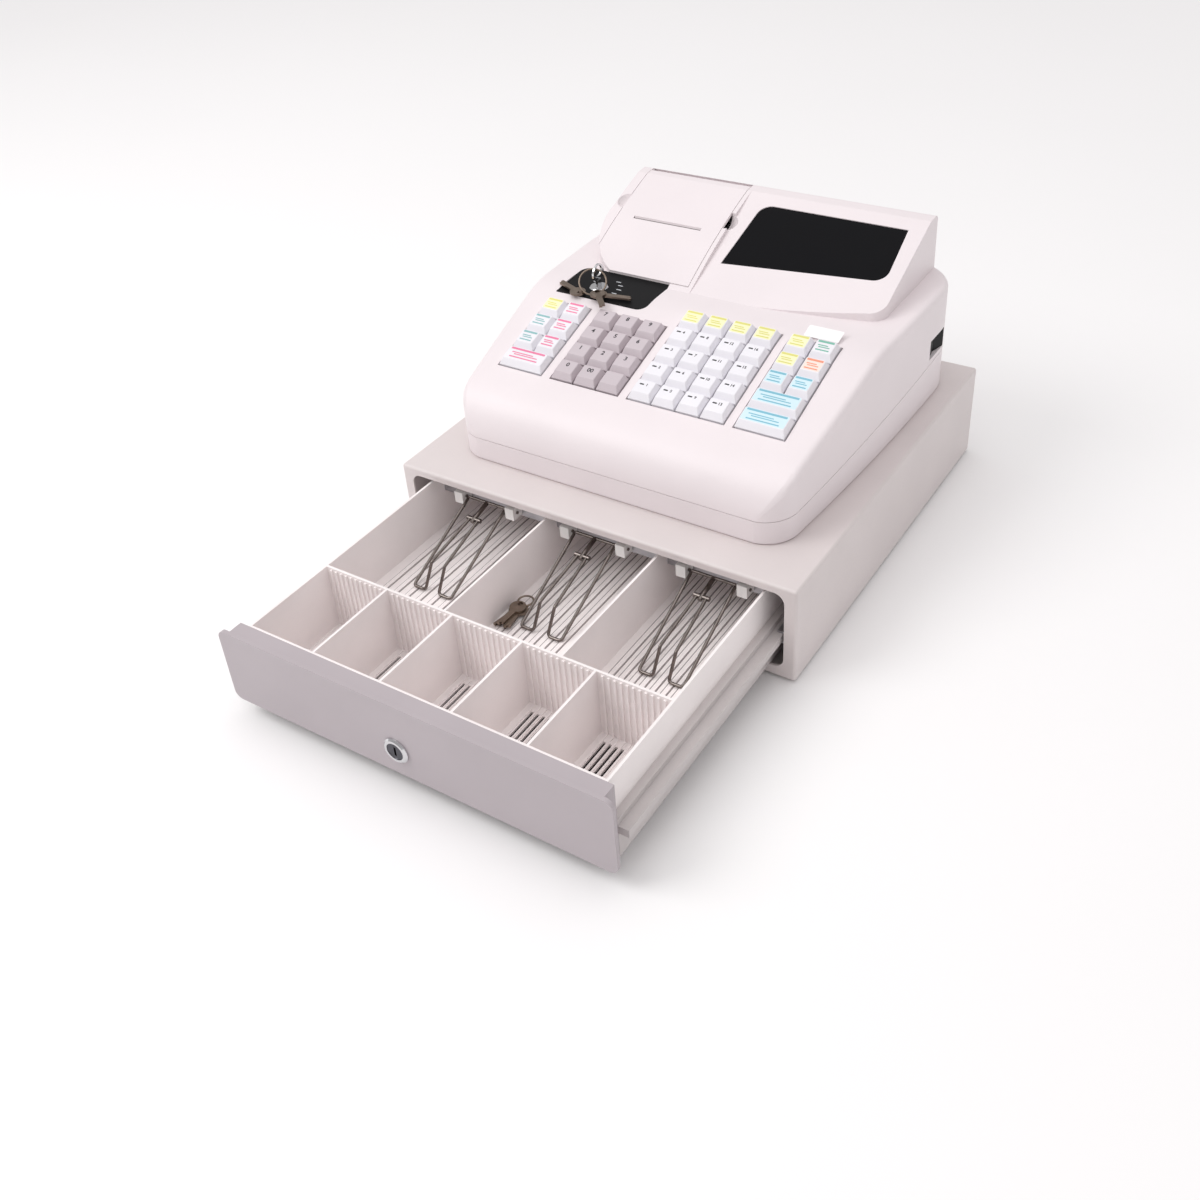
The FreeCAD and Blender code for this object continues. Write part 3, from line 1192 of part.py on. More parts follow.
def printer():
    """Receipt printer: frame with side cheeks, the driven platen and the paper roll."""
    half = "(roll_length / 2 + 4)"
    left = "slot_centre - " + half
    depth = FRONT + " + platen_depth - 18"
    floor_z = FLOOR + " + cabinet_height + shell_wall"
    cheeks = [box(left, depth, floor_z, "2", "76", "roll_height - cabinet_height - shell_wall + 12"),
              box("slot_centre + " + half + " - 2", depth, floor_z, "2", "76",
                  "roll_height - cabinet_height - shell_wall + 12")]
    cradle = box(left, FRONT + " + roll_depth - 28", FLOOR + " + roll_height - roll_radius - 5",
                 "2 * " + half, "56", "2")
    front = box(left, depth, FLOOR + " + platen_height - 26", "2 * " + half, "12", "20")
    bores = [rod(left + " - 1", FRONT + " + platen_depth", FLOOR + " + platen_height", "2.1",
                 "2 * " + half + " + 2", Y_AXIS),
             rod(left + " - 1", FRONT + " + roll_depth", FLOOR + " + roll_height", "3.1",
                 "2 * " + half + " + 2", Y_AXIS)]
    keep(cut(fuse(*cheeks, cradle, front), *bores), "printer_unit")
    body = new_body("platen_roller")
    points = [("-(roll_length / 2 + 4)", "0"), ("-(roll_length / 2 + 4)", "2"),
              ("-roll_length / 2", "2"), ("-roll_length / 2", "platen_radius"),
              ("roll_length / 2", "platen_radius"), ("roll_length / 2", "2"),
              ("roll_length / 2 + 4", "2"), ("roll_length / 2 + 4", "0")]
    revolve(body, outline(body, "XY_Plane", points), "H_Axis")
    place(body, "slot_centre", FRONT + " + platen_depth", FLOOR + " + platen_height")
    roll = doc.addObject("PartDesign::Body", "Paper")
    ring = [("-roll_length / 2", "roll_core"), ("-roll_length / 2", "roll_radius"),
            ("roll_length / 2", "roll_radius"), ("roll_length / 2", "roll_core")]
    revolve(roll, outline(roll, "XY_Plane", ring), "H_Axis")
    place(roll, "slot_centre", FRONT + " + roll_depth", FLOOR + " + roll_height")
    spindle = rod(left, FRONT + " + roll_depth", FLOOR + " + roll_height", "3", "2 * " + half, Y_AXIS)
    core = rod("slot_centre - roll_length / 2", FRONT + " + roll_depth", FLOOR + " + roll_height",
               "roll_core", "roll_length", Y_AXIS)
    keep(fuse(roll, core, spindle), "paper_roll")


def electronics():
    """Main board on its posts, and the power inlet in the rear wall."""
    under = FLOOR + " + cabinet_height + shell_wall + board_post"
    over = under + " + 1.6"
    board = box("-104", FRONT + " + 66", under, "208", "148", "1.6")
    transformer = box("20", FRONT + " + 150", over, "40", "30", "9")
    chip = box("-40", FRONT + " + 110", over, "24", "24", "3")
    keep(fuse(board, transformer, chip), "main_board")
    body = new_body("power_inlet")
    points = [("2.6", "-14"), ("inlet_radius", "-14"), ("inlet_radius", "0"),
              ("inlet_radius + 2", "0"), ("inlet_radius + 2", "1.5"), ("2.6", "1.5")]
    revolve(body, outline(body, "XY_Plane", points), "V_Axis")
    place(body, "inlet_across", FRONT + " + housing_rear", FLOOR + " + inlet_height")


def housing_screws():
    """Four screws up through the cabinet's top into the housing."""
    under = FLOOR + " + cabinet_height - sheet_wall"
    screws = []
    for across, depth in screw_spots():
        head = rod(across, depth, under + " - 1.8", "screw_head", "1.8")
        shank = rod(across, depth, under, "screw_radius", "sheet_wall + shell_wall + 2")
        screws.append(fuse(head, shank))
    keep(group(*screws), "housing_screws")


def build():
    cabinet_shell()
    cabinet_base()
    rubber_feet()
    drawer_rails()
    latch()
    drawer_front()
    drawer_box()
    till_tray()
    clip_bar()
    clip_blocks()
    bill_clips()
    drawer_lock()
    spare_keys()
    housing()
    windows_and_panel()
    keys()
    keyboard_plate()
    mode_switch()
    mode_keys()
    power_rocker()
    printer()
    electronics()
    housing_screws()


build()
doc.recompute()
for target in doc.Objects:
    assert not {"Invalid", "Error"} & set(target.State), target.Label + " has failed"
for target in pieces:
    assert not target.Shape.isNull() and target.Shape.isValid(), target.Label + " is not valid"
for target in pieces:
    target.Shape.exportStep("parts/%s.step" % target.Label)
    spot = target.Shape.BoundBox
    print("%-20s %8.1f cm3  x %.1f %.1f  y %.1f %.1f  z %.1f %.1f" % (
        target.Label, target.Shape.Volume / 1000, spot.XMin, spot.XMax, spot.YMin, spot.YMax,
        spot.ZMin, spot.ZMax))
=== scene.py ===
import math

import bmesh
import bpy
from mathutils import Matrix, Vector


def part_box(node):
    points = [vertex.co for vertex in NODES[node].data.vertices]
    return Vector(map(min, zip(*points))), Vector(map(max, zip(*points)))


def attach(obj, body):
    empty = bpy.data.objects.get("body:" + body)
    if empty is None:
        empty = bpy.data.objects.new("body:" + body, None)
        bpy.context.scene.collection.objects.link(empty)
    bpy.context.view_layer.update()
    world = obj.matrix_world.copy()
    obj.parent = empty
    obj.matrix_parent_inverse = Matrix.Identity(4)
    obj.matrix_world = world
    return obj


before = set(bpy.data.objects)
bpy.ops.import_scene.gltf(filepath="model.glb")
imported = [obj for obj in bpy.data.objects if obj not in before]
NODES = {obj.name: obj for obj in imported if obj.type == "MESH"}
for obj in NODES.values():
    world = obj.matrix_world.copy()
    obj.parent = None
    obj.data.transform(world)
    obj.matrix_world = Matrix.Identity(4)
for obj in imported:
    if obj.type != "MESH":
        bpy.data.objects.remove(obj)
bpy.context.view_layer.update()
MM = 0.001

# The sloping deck that carries the keys, from the same sizes as the solids, in millimetres.
FRONT_Y = -60.9
FLOOR_Z = 3.0
TILT = math.radians(17.2)
KEY_DEPTH = 76.8
DECK_START = 110.5
KEY_TOP = 5.0
PITCH_ACROSS = 19.7
PITCH_UP = 18.7
KEY_SPACE = 1.6
KEY_LEAN_SIDE = 1.9
KEY_LEAN_FRONT = 4.2
KEY_LEAN_REAR = 0.9
GROUP_START = {"left": -121.0, "number": -73.6, "department": -7.1, "right": 78.8}


# Materials

def linear(red, green, blue):
    """A colour given as 0 to 255 display values, as linear light."""
    values = []
    for part in (red, green, blue):
        share = part / 255
        values.append(share / 12.92 if share <= 0.04045 else ((share + 0.055) / 1.055) ** 2.4)
    return tuple(values) + (1.0,)


def shade(colour, factor):
    """The colour made lighter or darker, at most white."""
    return tuple(min(1.0, part * factor) for part in colour[:3]) + (1.0,)


def map_range(tree, value, low, high, start, end):
    """A node that carries a value from one range to another, held at both ends."""
    ramp = tree.nodes.new("ShaderNodeMapRange")
    ramp.inputs["From Min"].default_value = low
    ramp.inputs["From Max"].default_value = high
    ramp.inputs["To Min"].default_value = start
    ramp.inputs["To Max"].default_value = end
    tree.links.new(value, ramp.inputs["Value"])
    return ramp.outputs["Result"]


def material(name, colour, rough=0.5, metal=0.0, spread=0.03, patch=18.0, grain=900.0,
             depth=0.04, coat=0.0, stretch=(1, 1, 1), specular=0.5, dust=0.0):
    """A surface with slight colour patches, uneven gloss and a fine grain.

    patch and grain are the sizes of the two noises per metre, depth the height of the grain
    in millimetres, and stretch draws the grain out for brushed or drawn metal.
    """
    made = bpy.data.materials.new(name)
    made.use_nodes = True
    tree = made.node_tree
    shader = tree.nodes["Principled BSDF"]
    link = tree.links.new
    place = tree.nodes.new("ShaderNodeTexCoord")
    scale = tree.nodes.new("ShaderNodeMapping")
    scale.inputs["Scale"].default_value = stretch
    link(place.outputs["Object"], scale.inputs["Vector"])
    blotch = tree.nodes.new("ShaderNodeTexNoise")
    blotch.inputs["Scale"].default_value = patch
    blotch.inputs["Detail"].default_value = 4
    link(place.outputs["Object"], blotch.inputs["Vector"])
    fine = tree.nodes.new("ShaderNodeTexNoise")
    fine.inputs["Scale"].default_value = grain
    fine.inputs["Detail"].default_value = 3
    link(scale.outputs["Vector"], fine.inputs["Vector"])
    ramp = tree.nodes.new("ShaderNodeValToRGB")
    ramp.color_ramp.elements[0].position = 0.35
    ramp.color_ramp.elements[1].position = 0.65
    ramp.color_ramp.elements[0].color = shade(colour, 1 - spread)
    ramp.color_ramp.elements[1].color = shade(colour, 1 + spread)
    link(blotch.outputs["Fac"], ramp.inputs["Fac"])
    tint = ramp.outputs["Color"]
    if dust:
        worn = tree.nodes.new("ShaderNodeMix")
        worn.data_type = "RGBA"
        worn.inputs[7].default_value = shade(colour, 1 - dust)
        link(map_range(tree, fine.outputs["Fac"], 0.58, 0.75, 0, 1), worn.inputs[0])
        link(tint, worn.inputs[6])
        tint = worn.outputs[2]
    link(tint, shader.inputs["Base Color"])
    link(map_range(tree, fine.outputs["Fac"], 0, 1, max(0.03, rough - 0.07), min(1.0, rough + 0.07)),
         shader.inputs["Roughness"])
    bump = tree.nodes.new("ShaderNodeBump")
    bump.inputs["Strength"].default_value = 0.5
    bump.inputs["Distance"].default_value = depth * MM
    link(fine.outputs["Fac"], bump.inputs["Height"])
    link(bump.outputs["Normal"], shader.inputs["Normal"])
    shader.inputs["Metallic"].default_value = metal
    shader.inputs["Specular IOR Level"].default_value = specular
    if coat:
        shader.inputs["Coat Weight"].default_value = coat
        shader.inputs["Coat Roughness"].default_value = 0.12
    return made


HOUSING = linear(237, 228, 230)
CABINET = linear(220, 211, 210)
FACE = linear(182, 173, 177)
TRAY = linear(250, 243, 242)
STEEL = linear(178, 178, 182)

paints = {
    "housing": material("housing plastic", HOUSING, 0.42, spread=0.012, grain=1400, depth=0.05),
    "cabinet": material("cabinet paint", CABINET, 0.38, spread=0.02, grain=700, depth=0.05,
                        dust=0.03),
    "front": material("drawer front plastic", FACE, 0.4, spread=0.02, grain=900, depth=0.04),
    "tray": material("tray plastic", TRAY, 0.45, spread=0.03, grain=1100, depth=0.05, dust=0.05),
    "pan": material("drawer pan paint", linear(206, 199, 198), 0.42, spread=0.03, grain=800,
                    dust=0.06),
    "zinc": material("zinc plated steel", STEEL, 0.36, 1.0, spread=0.08, patch=60, grain=500,
                     stretch=(1, 6, 1), depth=0.03),
    "wire": material("drawn steel wire", linear(122, 114, 110), 0.24, 1.0, spread=0.12, patch=140,
                     grain=900, depth=0.02),
    "chrome": material("bright plating", linear(214, 214, 216), 0.12, 1.0, spread=0.03, patch=80,
                       grain=1200, depth=0.01),
    "keymetal": material("worn key metal", linear(142, 128, 116), 0.33, 1.0, spread=0.1, patch=120,
                         grain=900, depth=0.03, dust=0.2),
    "white": material("white moulding", linear(238, 236, 234), 0.4, spread=0.02),
    "rubber": material("black rubber", linear(32, 31, 32), 0.75, spread=0.12, grain=1600, depth=0.06),
    "black": material("black moulding", linear(14, 14, 16), 0.4, spread=0.1, grain=1500, depth=0.03,
                      specular=0.12),
    "window": material("smoked window", linear(4, 4, 8), 0.16, spread=0.05, grain=60, depth=0.004,
                       specular=0.1),
    "grey key": material("grey keycap", linear(203, 192, 197), 0.42, spread=0.02, grain=1500),
    "white key": material("white keycap", linear(240, 238, 243), 0.3, spread=0.015, grain=1500),
    "paper": material("paper roll", linear(240, 240, 236), 0.8, spread=0.02, grain=2500, depth=0.04),
    "board": material("circuit board", linear(24, 82, 48), 0.35, spread=0.15, patch=200, grain=700),
    "ink": material("dark print", linear(36, 32, 40), 0.5, spread=0.05, grain=2000),
    "rib shade": material("shade between ribs", linear(150, 143, 142), 0.6, spread=0.02,
                          specular=0.1),
    "slot shade": material("painted shade under the slots", linear(38, 34, 35), 0.7, spread=0.02,
                           specular=0.05),
    "dark steel": material("darkened lock face", linear(84, 84, 90), 0.3, 1.0, spread=0.05,
                           patch=80, grain=900, depth=0.02),
    "slot bar": material("tear bar plastic", linear(206, 196, 198), 0.3, spread=0.03, grain=900,
                         depth=0.02),
    "sticker": material("blank sticker", linear(252, 252, 252), 0.35, spread=0.01, grain=1200),
    "mark": material("pale print", linear(206, 208, 212), 0.5, spread=0.05, grain=2000),
}
PRINTS = {
    "pink": (linear(236, 126, 164), linear(250, 224, 234)),
    "teal": (linear(142, 190, 192), linear(232, 244, 244)),
    "yellow": (linear(226, 222, 128), linear(248, 246, 200)),
    "green": (linear(122, 188, 168), linear(228, 244, 238)),
    "orange": (linear(238, 150, 120), linear(252, 230, 220)),
    "blue": (linear(126, 190, 210), linear(214, 238, 246)),
}
for name, (strong, pale) in PRINTS.items():
    paints[name] = material(name + " print", strong, 0.42, spread=0.04, grain=1800, depth=0.01)
    paints["pale " + name] = material("pale " + name + " label", pale, 0.34, spread=0.02, grain=1800,
                                      depth=0.01)

NODE_PAINT = {
    "cabinet_shell": "cabinet", "cabinet_base": "cabinet", "rubber_feet": "rubber",
    "drawer_rails": "zinc", "latch_unit": "zinc", "latch_pin": "chrome", "drawer_front": "front",
    "drawer_box": "pan", "till_tray": "tray", "clip_bar": "zinc", "clip_hinge_blocks": "white",
    "bill_clip_left": "wire", "bill_clip_middle": "wire", "bill_clip_right": "wire",
    "lock_body": "chrome", "lock_plug": "dark steel", "spare_keys": "keymetal", "mode_keys": "keymetal",
    "mode_switch": "chrome", "housing_base": "housing", "housing_top": "housing",
    "printer_cover": "housing", "cover_pin": "zinc", "display_window": "window",
    "customer_window": "window", "mode_panel": "black", "power_rocker": "black",
    "power_inlet": "black", "keyboard_plate": "zinc", "printer_unit": "zinc",
    "platen_roller": "rubber", "paper_roll": "paper", "main_board": "board",
    "housing_screws": "zinc",
}


def node_paint(node):
    """The paint of a solid: by its name, or else the keycap's colour."""
    if node in NODE_PAINT:
        return paints[NODE_PAINT[node]]
    return paints["grey key" if node.startswith("key_") else "white key"]


for node, solid in NODES.items():
    chosen = node_paint(node)
    if not solid.material_slots:
        solid.data.materials.append(chosen)
    for holder in solid.material_slots:
        holder.material = chosen


# Placing pieces

def on_deck(across, along, lift):
    """A point on the key deck, in metres: along it from the keys' front edge and off its surface."""
    y = FRONT_Y + KEY_DEPTH + along * math.cos(TILT) - lift * math.sin(TILT)
    z = (FLOOR_Z + DECK_START + KEY_DEPTH * math.tan(TILT) + along * math.sin(TILT)
         + lift * math.cos(TILT))
    return Vector((across, y, z)) * MM


def deck_frame(across, along, lift):
    """The deck's axes at one point, as a matrix in metres."""
    turned = Matrix.Rotation(TILT, 4, "X")
    turned.translation = on_deck(across, along, lift)
    return turned


def new_piece(name, mesh, paint, body):
    """A mesh shown as a piece of its own, which moves with its body."""
    piece = bpy.data.objects.new(name, mesh)
    bpy.context.scene.collection.objects.link(piece)
    mesh.materials.append(paints[paint])
    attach(piece, body)
    return piece


def rounded_outline(left, right, low, high, radius, steps=5):
    """Corners of a rounded rectangle, in millimetres."""
    spots = []
    for cx, cy, start in ((right - radius, high - radius, 0), (left + radius, high - radius, 90),
                          (left + radius, low + radius, 180), (right - radius, low + radius, 270)):
        for step in range(steps + 1):
            turn = math.radians(start + 90 * step / steps)
            spots.append((cx + radius * math.cos(turn), cy + radius * math.sin(turn)))
    return spots


def plates(name, outlines, matrix, thick, paint, body):
    """Thin flat plates, each a closed slab with a softened top edge."""
    mesh = bpy.data.meshes.new(name)
    work = bmesh.new()
    for spots in outlines:
        middle = Vector((sum(x for x, y in spots), sum(y for x, y in spots), 0)) / len(spots)
        rings = []
        for shrink, height in ((0.0, 0.0), (0.0, 0.7), (0.06, 1.0)):
            ring = []
            for x, y in spots:
                flat = Vector((x, y, 0))
                inward = (middle - flat)
                inward = inward.normalized() * min(shrink, inward.length)
                spot = (flat + inward + Vector((0, 0, thick * height))) * MM
                ring.append(work.verts.new(matrix @ spot))
            rings.append(ring)
        count = len(spots)
        for lower, upper in zip(rings, rings[1:]):
            for step in range(count):
                after = (step + 1) % count
                work.faces.new((lower[step], lower[after], upper[after], upper[step]))
        work.faces.new(rings[-1])
        work.faces.new(list(reversed(rings[0])))
    work.to_mesh(mesh)
    work.free()
    return new_piece(name, mesh, paint, body)


# Key legends

PRINT_THICK, CARD_THICK = 0.05, 0.06
CARD_SIDE, CARD_END = 1.0, 0.8
NUMERAL_HIGH, NUMBER_HIGH = 3.6, 2.3
NUMERAL_SCALE = 1.45
# Left, right, lower and upper edge of each printed bar, as shares of its card.
LABEL_BARS = ((-0.46, 0.46, 0.30, 0.46), (-0.38, 0.20, 0.02, 0.10), (-0.30, 0.34, -0.14, -0.06),
              (-0.38, 0.38, -0.40, -0.30))
DASH_BAR = (-0.12, 0.12, -0.05, 0.05)
NUMERAL_UP = 1.6
NUMBER_APART = 2.6, 1.6


def key_centre(group, column, row, columns=1):
    """Centre of a keycap's flat top, across and along the deck."""
    width = columns * PITCH_ACROSS - KEY_SPACE
    across = GROUP_START[group] + column * PITCH_ACROSS + width / 2
    low = row * PITCH_UP + KEY_LEAN_FRONT
    high = row * PITCH_UP + PITCH_UP - KEY_SPACE - KEY_LEAN_REAR
    return across, (low + high) / 2, width - 2 * KEY_LEAN_SIDE, high - low


def digits(name, words, across, along, lift, height, paint, body):
    """Numerals laid on a keycap, as a mesh of their own."""
    curve = bpy.data.curves.new(name, "FONT")
    curve.body = words
    curve.size = height * NUMERAL_SCALE * MM
    curve.align_x = "CENTER"
    curve.align_y = "CENTER"
    curve.extrude = 0.02 * MM
    curve.offset = 0.035 * height * MM
    curve.resolution_u = 3
    holder = bpy.data.objects.new(name + "_outline", curve)
    bpy.context.scene.collection.objects.link(holder)
    bpy.context.view_layer.update()
    mesh = bpy.data.meshes.new_from_object(holder.evaluated_get(
        bpy.context.evaluated_depsgraph_get()))
    bpy.data.objects.remove(holder)
    bpy.data.curves.remove(curve)
    mesh.name = name
    mesh.materials.clear()
    mesh.transform(deck_frame(across, along, lift + 0.03))
    return new_piece(name, mesh, paint, body)


for row, words in enumerate((("0", "00", "."), ("1", "2", "3"), ("4", "5", "6"), ("7", "8", "9"))):
    for column, word in enumerate(words):
        node = "key_" + {".": "point"}.get(word, word)
        across, along, wide, high = key_centre("number", column, row)
        if word != ".":
            digits(node + "_numeral", word, across, along + NUMERAL_UP, KEY_TOP, NUMERAL_HIGH, "ink",
                   node + "_body")


def band(across, along, wide, high, left, right, low, top):
    """A plain printed bar, as shares of a label's width and height."""
    return rounded_outline(across + wide * left, across + wide * right, along + high * low,
                           along + high * top, 0.25, 2)


def flat_frame(lift):
    """The deck's axes with its origin at the keys' front edge, for outlines in deck places."""
    return deck_frame(0, 0, lift)


def label(name, colour, group, column, row, body, columns=1, filled=True):
    """A pale card on a keycap, or none, with stronger bars across it."""
    across, along, wide, high = key_centre(group, column, row, columns)
    wide -= CARD_SIDE
    high -= CARD_END
    card = rounded_outline(across - wide / 2, across + wide / 2, along - high / 2,
                           along + high / 2, 0.9, 4)
    if filled:
        plates(name + "_card", [card], flat_frame(KEY_TOP), CARD_THICK, "pale " + colour, body)
    bars = [band(across, along, wide, high, *bar) for bar in LABEL_BARS]
    plates(name + "_bars", bars, flat_frame(KEY_TOP + PRINT_THICK), PRINT_THICK, colour, body)


label("left_wide", "pink", "left", 0, 0, "left_wide_key_body", 2, False)
for row, colours in enumerate((("teal", "pink"), ("teal", "pink"), ("yellow", "pink")), start=1):
    for column, colour in enumerate(colours):
        label("left_%d_%d" % (row, column), colour, "left", column, row,
              "left_keys_row_%d_body" % row, 1, colour == "yellow")
label("right_wide_front", "blue", "right", 0, 0, "right_wide_key_front_body", 2)
label("right_wide_rear", "blue", "right", 0, 1, "right_wide_key_rear_body", 2)
for row, colours in enumerate((("blue", "blue"), ("yellow", "orange"), ("yellow", "green")), start=2):
    for column, colour in enumerate(colours):
        label("right_%d_%d" % (row, column), colour, "right", column, row,
              "right_keys_row_%d_body" % (row - 1), 1, colour != "green")
for row in range(5):
    body = "department_keys_row_%d_body" % (row + 1)
    for column in range(4):
        if row == 4:
            label("department_%d" % column, "yellow", "department", column, row, body)
            continue
        across, along, wide, high = key_centre("department", column, row)
        name = "department_%d_%d" % (row, column)
        dash, number = across - NUMBER_APART[0], across + NUMBER_APART[1]
        along += NUMERAL_UP
        plates(name + "_dash", [band(dash, along, wide, high, *DASH_BAR)], flat_frame(KEY_TOP),
               PRINT_THICK, "ink", body)
        digits(name + "_number", str(column * 4 + row + 1), number, along, KEY_TOP, NUMBER_HIGH,
               "ink", body)

# The white sticker on the deck, below the display's right end: left, right, lower and upper edge.
STICKER = (86.0, 113.0, 95.5, 107.0)
STICKER_THICK = 0.1
plates("deck_sticker", [rounded_outline(*STICKER, 1.0)], flat_frame(0.0), STICKER_THICK, "sticker",
       "register")


# The printer's tear bar and the marks round the mode switch

HUMP_FRONT = 191.0
FACE_LOW = 160.5
FACE_RISE = 46 / 105
SLOT_CENTRE = -73.0
SLOT_DEPTH = 248.0
BULGE = 3.47


def cover_frame(depth, lift):
    """Axes lying in the printer cover's face at one depth, at the middle of the receipt slot."""
    height = FACE_LOW + FACE_RISE * (depth - HUMP_FRONT) + BULGE
    tilt = math.atan(FACE_RISE)
    turned = Matrix.Rotation(tilt, 4, "X")
    turned.translation = Vector((SLOT_CENTRE, FRONT_Y + depth - lift * math.sin(tilt),
                                 FLOOR_Z + height + lift * math.cos(tilt))) * MM
    return turned


TEAR_HALF, TEAR_LOW, TEAR_HIGH = 30.6, -0.4, 1.25
TEAR_THICK, TEAR_SUNK = 1.5, 1.9
tear_bar = rounded_outline(-TEAR_HALF, TEAR_HALF, TEAR_LOW, TEAR_HIGH, 0.3, 2)
plates("tear_bar", [tear_bar], cover_frame(SLOT_DEPTH, -TEAR_SUNK), TEAR_THICK, "slot bar",
       "printer_cover_body")

MARK_RADIUS, MARK_LONG, MARK_HALF = 15.0, 4.4, 0.5
MODE_ACROSS = -93.0
MODE_DEPTH = 175.0
PANEL_FRONT = 157.0
PANEL_HEIGHT = 159.1
PANEL_SLOPE = 0.0664
PANEL_RISE = 0.4


def panel_frame(across, depth, lift):
    """Axes lying in the black mode panel's face."""
    height = PANEL_HEIGHT + PANEL_SLOPE * (depth - PANEL_FRONT) + PANEL_RISE
    turned = Matrix.Rotation(math.atan(PANEL_SLOPE), 4, "X")
    turned.translation = Vector((across, FRONT_Y + depth, FLOOR_Z + height + lift)) * MM
    return turned


marks = []
for turn in (-40, -16, 8, 32, 56):
    across = MARK_RADIUS * math.cos(math.radians(turn))
    along = MARK_RADIUS * math.sin(math.radians(turn))
    marks.append(rounded_outline(across, across + MARK_LONG, along - MARK_HALF, along + MARK_HALF,
                                 0.3, 2))
plates("mode_marks", marks, panel_frame(MODE_ACROSS, MODE_DEPTH, 0.0), PRINT_THICK, "mark",
       "register")


# Shade between the till tray's ribs and in its slots, which the photograph shows dark. The tray's
# sizes are those of its solid, in millimetres.

TRAY_LOW, TRAY_HIGH = (Vector(corner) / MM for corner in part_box("till_tray"))
TRAY_WALL = 1.8
COIN_FLOOR, BILL_FLOOR = 14.0, 22.0
COIN_LENGTH = 73.8
DIVIDERS = (-35.4, 58.0)
RIB_WIDTH = 3.2
BILL_RIBS, COIN_RIBS = 9, 11
SLOT_SHIFT, SLOT_BACK, SLOT_RUN, SLOT_HALF = 13.0, 7.0, 26.0, 1.3
SLOT_COUNT, COIN_BINS = 4, 5
LINE_WIDTH, LINE_GAP, LINE_END = 1.0, 0.05, 0.5
LINE_THICK = 0.04
PAD_EDGE, PAD_DROP, PAD_THICK = 1.0, 0.12, 0.1


def strip(left, right, low, high):
    """A nearly square-cornered outline."""
    return rounded_outline(left, right, low, high, 0.2, 1)


def flat_at(height):
    """Level axes at a height above the cabinet's underside."""
    return Matrix.Translation(Vector((0, 0, FLOOR_Z + height)) * MM)


def bin_sides(walls, number):
    """Inner left and right faces of one bin, between walls given by their middles or outer faces."""
    left = walls[number] + (TRAY_WALL if number == 0 else TRAY_WALL / 2)
    right = walls[number + 1] - (TRAY_WALL if number == len(walls) - 2 else TRAY_WALL / 2)
    return left, right


def bill_shade():
    """A thin line of shade at both feet of each long rib in the three bill bins."""
    walls = (TRAY_LOW.x, *DIVIDERS, TRAY_HIGH.x)
    front = TRAY_LOW.y + COIN_LENGTH + TRAY_WALL
    rear = TRAY_HIGH.y - TRAY_WALL
    lines = []
    for number in range(len(walls) - 1):
        left, right = bin_sides(walls, number)
        for step in range(BILL_RIBS):
            spot = left + (right - left) * (step + 1) / (BILL_RIBS + 1)
            for side in (-1, 1):
                line = spot + side * (RIB_WIDTH / 2 + LINE_GAP + LINE_WIDTH / 2)
                lines.append(strip(line - LINE_WIDTH / 2, line + LINE_WIDTH / 2,
                                   front + LINE_END, rear - LINE_END))
    plates("bill_bin_shade", lines, flat_at(BILL_FLOOR), LINE_THICK, "rib shade", "drawer")


def coin_shade():
    """A dark pad of painted shade just under the tray's floor, seen through the slots of each coin bin.
    """
    pitch = (TRAY_HIGH.x - TRAY_LOW.x) / COIN_BINS
    walls = [TRAY_LOW.x + number * pitch for number in range(COIN_BINS + 1)]
    slot_end = TRAY_LOW.y + COIN_LENGTH - SLOT_BACK
    pads = []
    for number in range(COIN_BINS):
        left, right = bin_sides(walls, number)
        across = (right - left) / (COIN_RIBS + 1)
        middle = (left + right) / 2 - SLOT_SHIFT
        reach = (SLOT_COUNT - 1) / 2 * across + SLOT_HALF + PAD_EDGE
        pads.append(strip(middle - reach, middle + reach, slot_end - SLOT_RUN - PAD_EDGE,
                          slot_end + PAD_EDGE))
    plates("coin_slot_shade", pads, flat_at(COIN_FLOOR - TRAY_WALL - PAD_DROP), PAD_THICK,
           "slot shade", "drawer")


bill_shade()
coin_shade()


# Studio

CAMERA_SPOT = Vector((0.4449, -0.6628, 0.6131))
CAMERA_YAW, CAMERA_PITCH, CAMERA_ROLL = 35.38, 35.3, -4.51
CAMERA_LENS, CAMERA_SHIFT = 39.47, (-0.0022, -0.0699)
LIT_SPOT = Vector((0, -0.05, 0.1))
FLOOR_REACH = 40.0


def area_light(name, spot, size, power):
    """A round soft light that faces the middle of the object."""
    lamp = bpy.data.lights.new(name, "AREA")
    lamp.shape = "DISK"
    lamp.size = size
    lamp.energy = power
    holder = bpy.data.objects.new(name, lamp)
    bpy.context.scene.collection.objects.link(holder)
    holder.location = spot
    holder.rotation_euler = (LIT_SPOT - Vector(spot)).to_track_quat("-Z", "Y").to_euler()


def floor():
    """A pale floor that reaches far past the picture on every side."""
    work = bmesh.new()
    bmesh.ops.create_grid(work, x_segments=8, y_segments=8, size=FLOOR_REACH)
    mesh = bpy.data.meshes.new("floor")
    work.to_mesh(mesh)
    work.free()
    ground = bpy.data.objects.new("floor", mesh)
    bpy.context.scene.collection.objects.link(ground)
    mesh.materials.append(material("floor", linear(250, 249, 249), 0.8, spread=0.004, patch=2,
                                   grain=300, depth=0.01, specular=0.1))


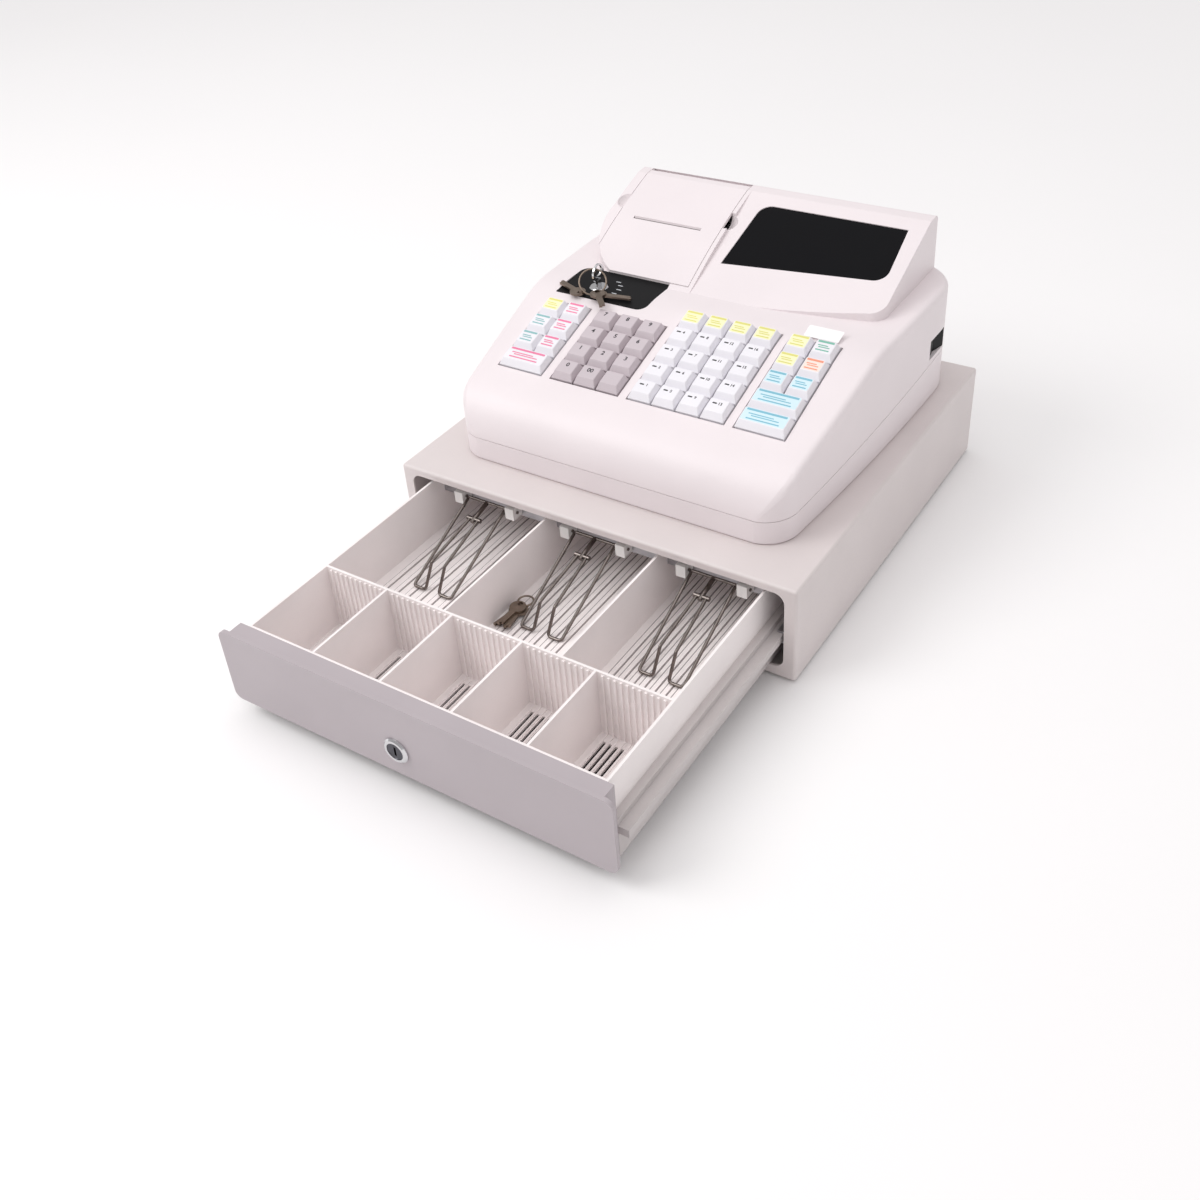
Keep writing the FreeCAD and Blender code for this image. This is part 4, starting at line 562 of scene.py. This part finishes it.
def photo_camera():
    """The photograph's viewpoint: place, turn, tilt and roll, with a slight downward shift."""
    yaw, pitch, roll = (math.radians(turn) for turn in (CAMERA_YAW, CAMERA_PITCH, CAMERA_ROLL))
    ahead = Vector((-math.sin(yaw) * math.cos(pitch), math.cos(yaw) * math.cos(pitch),
                    -math.sin(pitch)))
    level = Vector((math.cos(yaw), math.sin(yaw), 0))
    up = level.cross(ahead)
    right = level * math.cos(roll) + up * math.sin(roll)
    top = up * math.cos(roll) - level * math.sin(roll)
    lens = bpy.data.cameras.new("photo camera")
    lens.sensor_width = 36
    lens.lens = CAMERA_LENS
    lens.shift_x, lens.shift_y = CAMERA_SHIFT
    lens.clip_start = 0.05
    lens.clip_end = 50
    camera = bpy.data.objects.new("photo camera", lens)
    bpy.context.scene.collection.objects.link(camera)
    turned = Matrix((right, top, -ahead)).transposed().to_4x4()
    turned.translation = CAMERA_SPOT
    camera.matrix_world = turned
    bpy.context.scene.camera = camera


def studio_dome(zenith, side, horizon):
    """Soft light from all round: strong overhead, weak at the sides, pale at the floor's edge."""
    world = bpy.data.worlds.new("studio")
    world.use_nodes = True
    tree = world.node_tree
    place = tree.nodes.new("ShaderNodeTexCoord")
    split = tree.nodes.new("ShaderNodeSeparateXYZ")
    total = tree.nodes.new("ShaderNodeMath")
    tree.links.new(place.outputs["Generated"], split.inputs["Vector"])
    height = split.outputs["Z"]
    tree.links.new(map_range(tree, height, 0.1, 0.9, side, zenith), total.inputs[0])
    tree.links.new(map_range(tree, height, 0, 0.4, horizon - side, 0), total.inputs[1])
    ground = tree.nodes["Background"]
    ground.inputs["Color"].default_value = (1.0, 0.985, 0.99, 1.0)
    tree.links.new(total.outputs["Value"], ground.inputs["Strength"])
    bpy.context.scene.world = world


floor()
photo_camera()
area_light("key", (-1.15, -1.15, 1.75), 1.3, 17)
area_light("top", (-0.3, -0.1, 2.4), 1.6, 5)
studio_dome(1.05, 0.12, 0.7)
bpy.context.scene.view_settings.view_transform = "Standard"
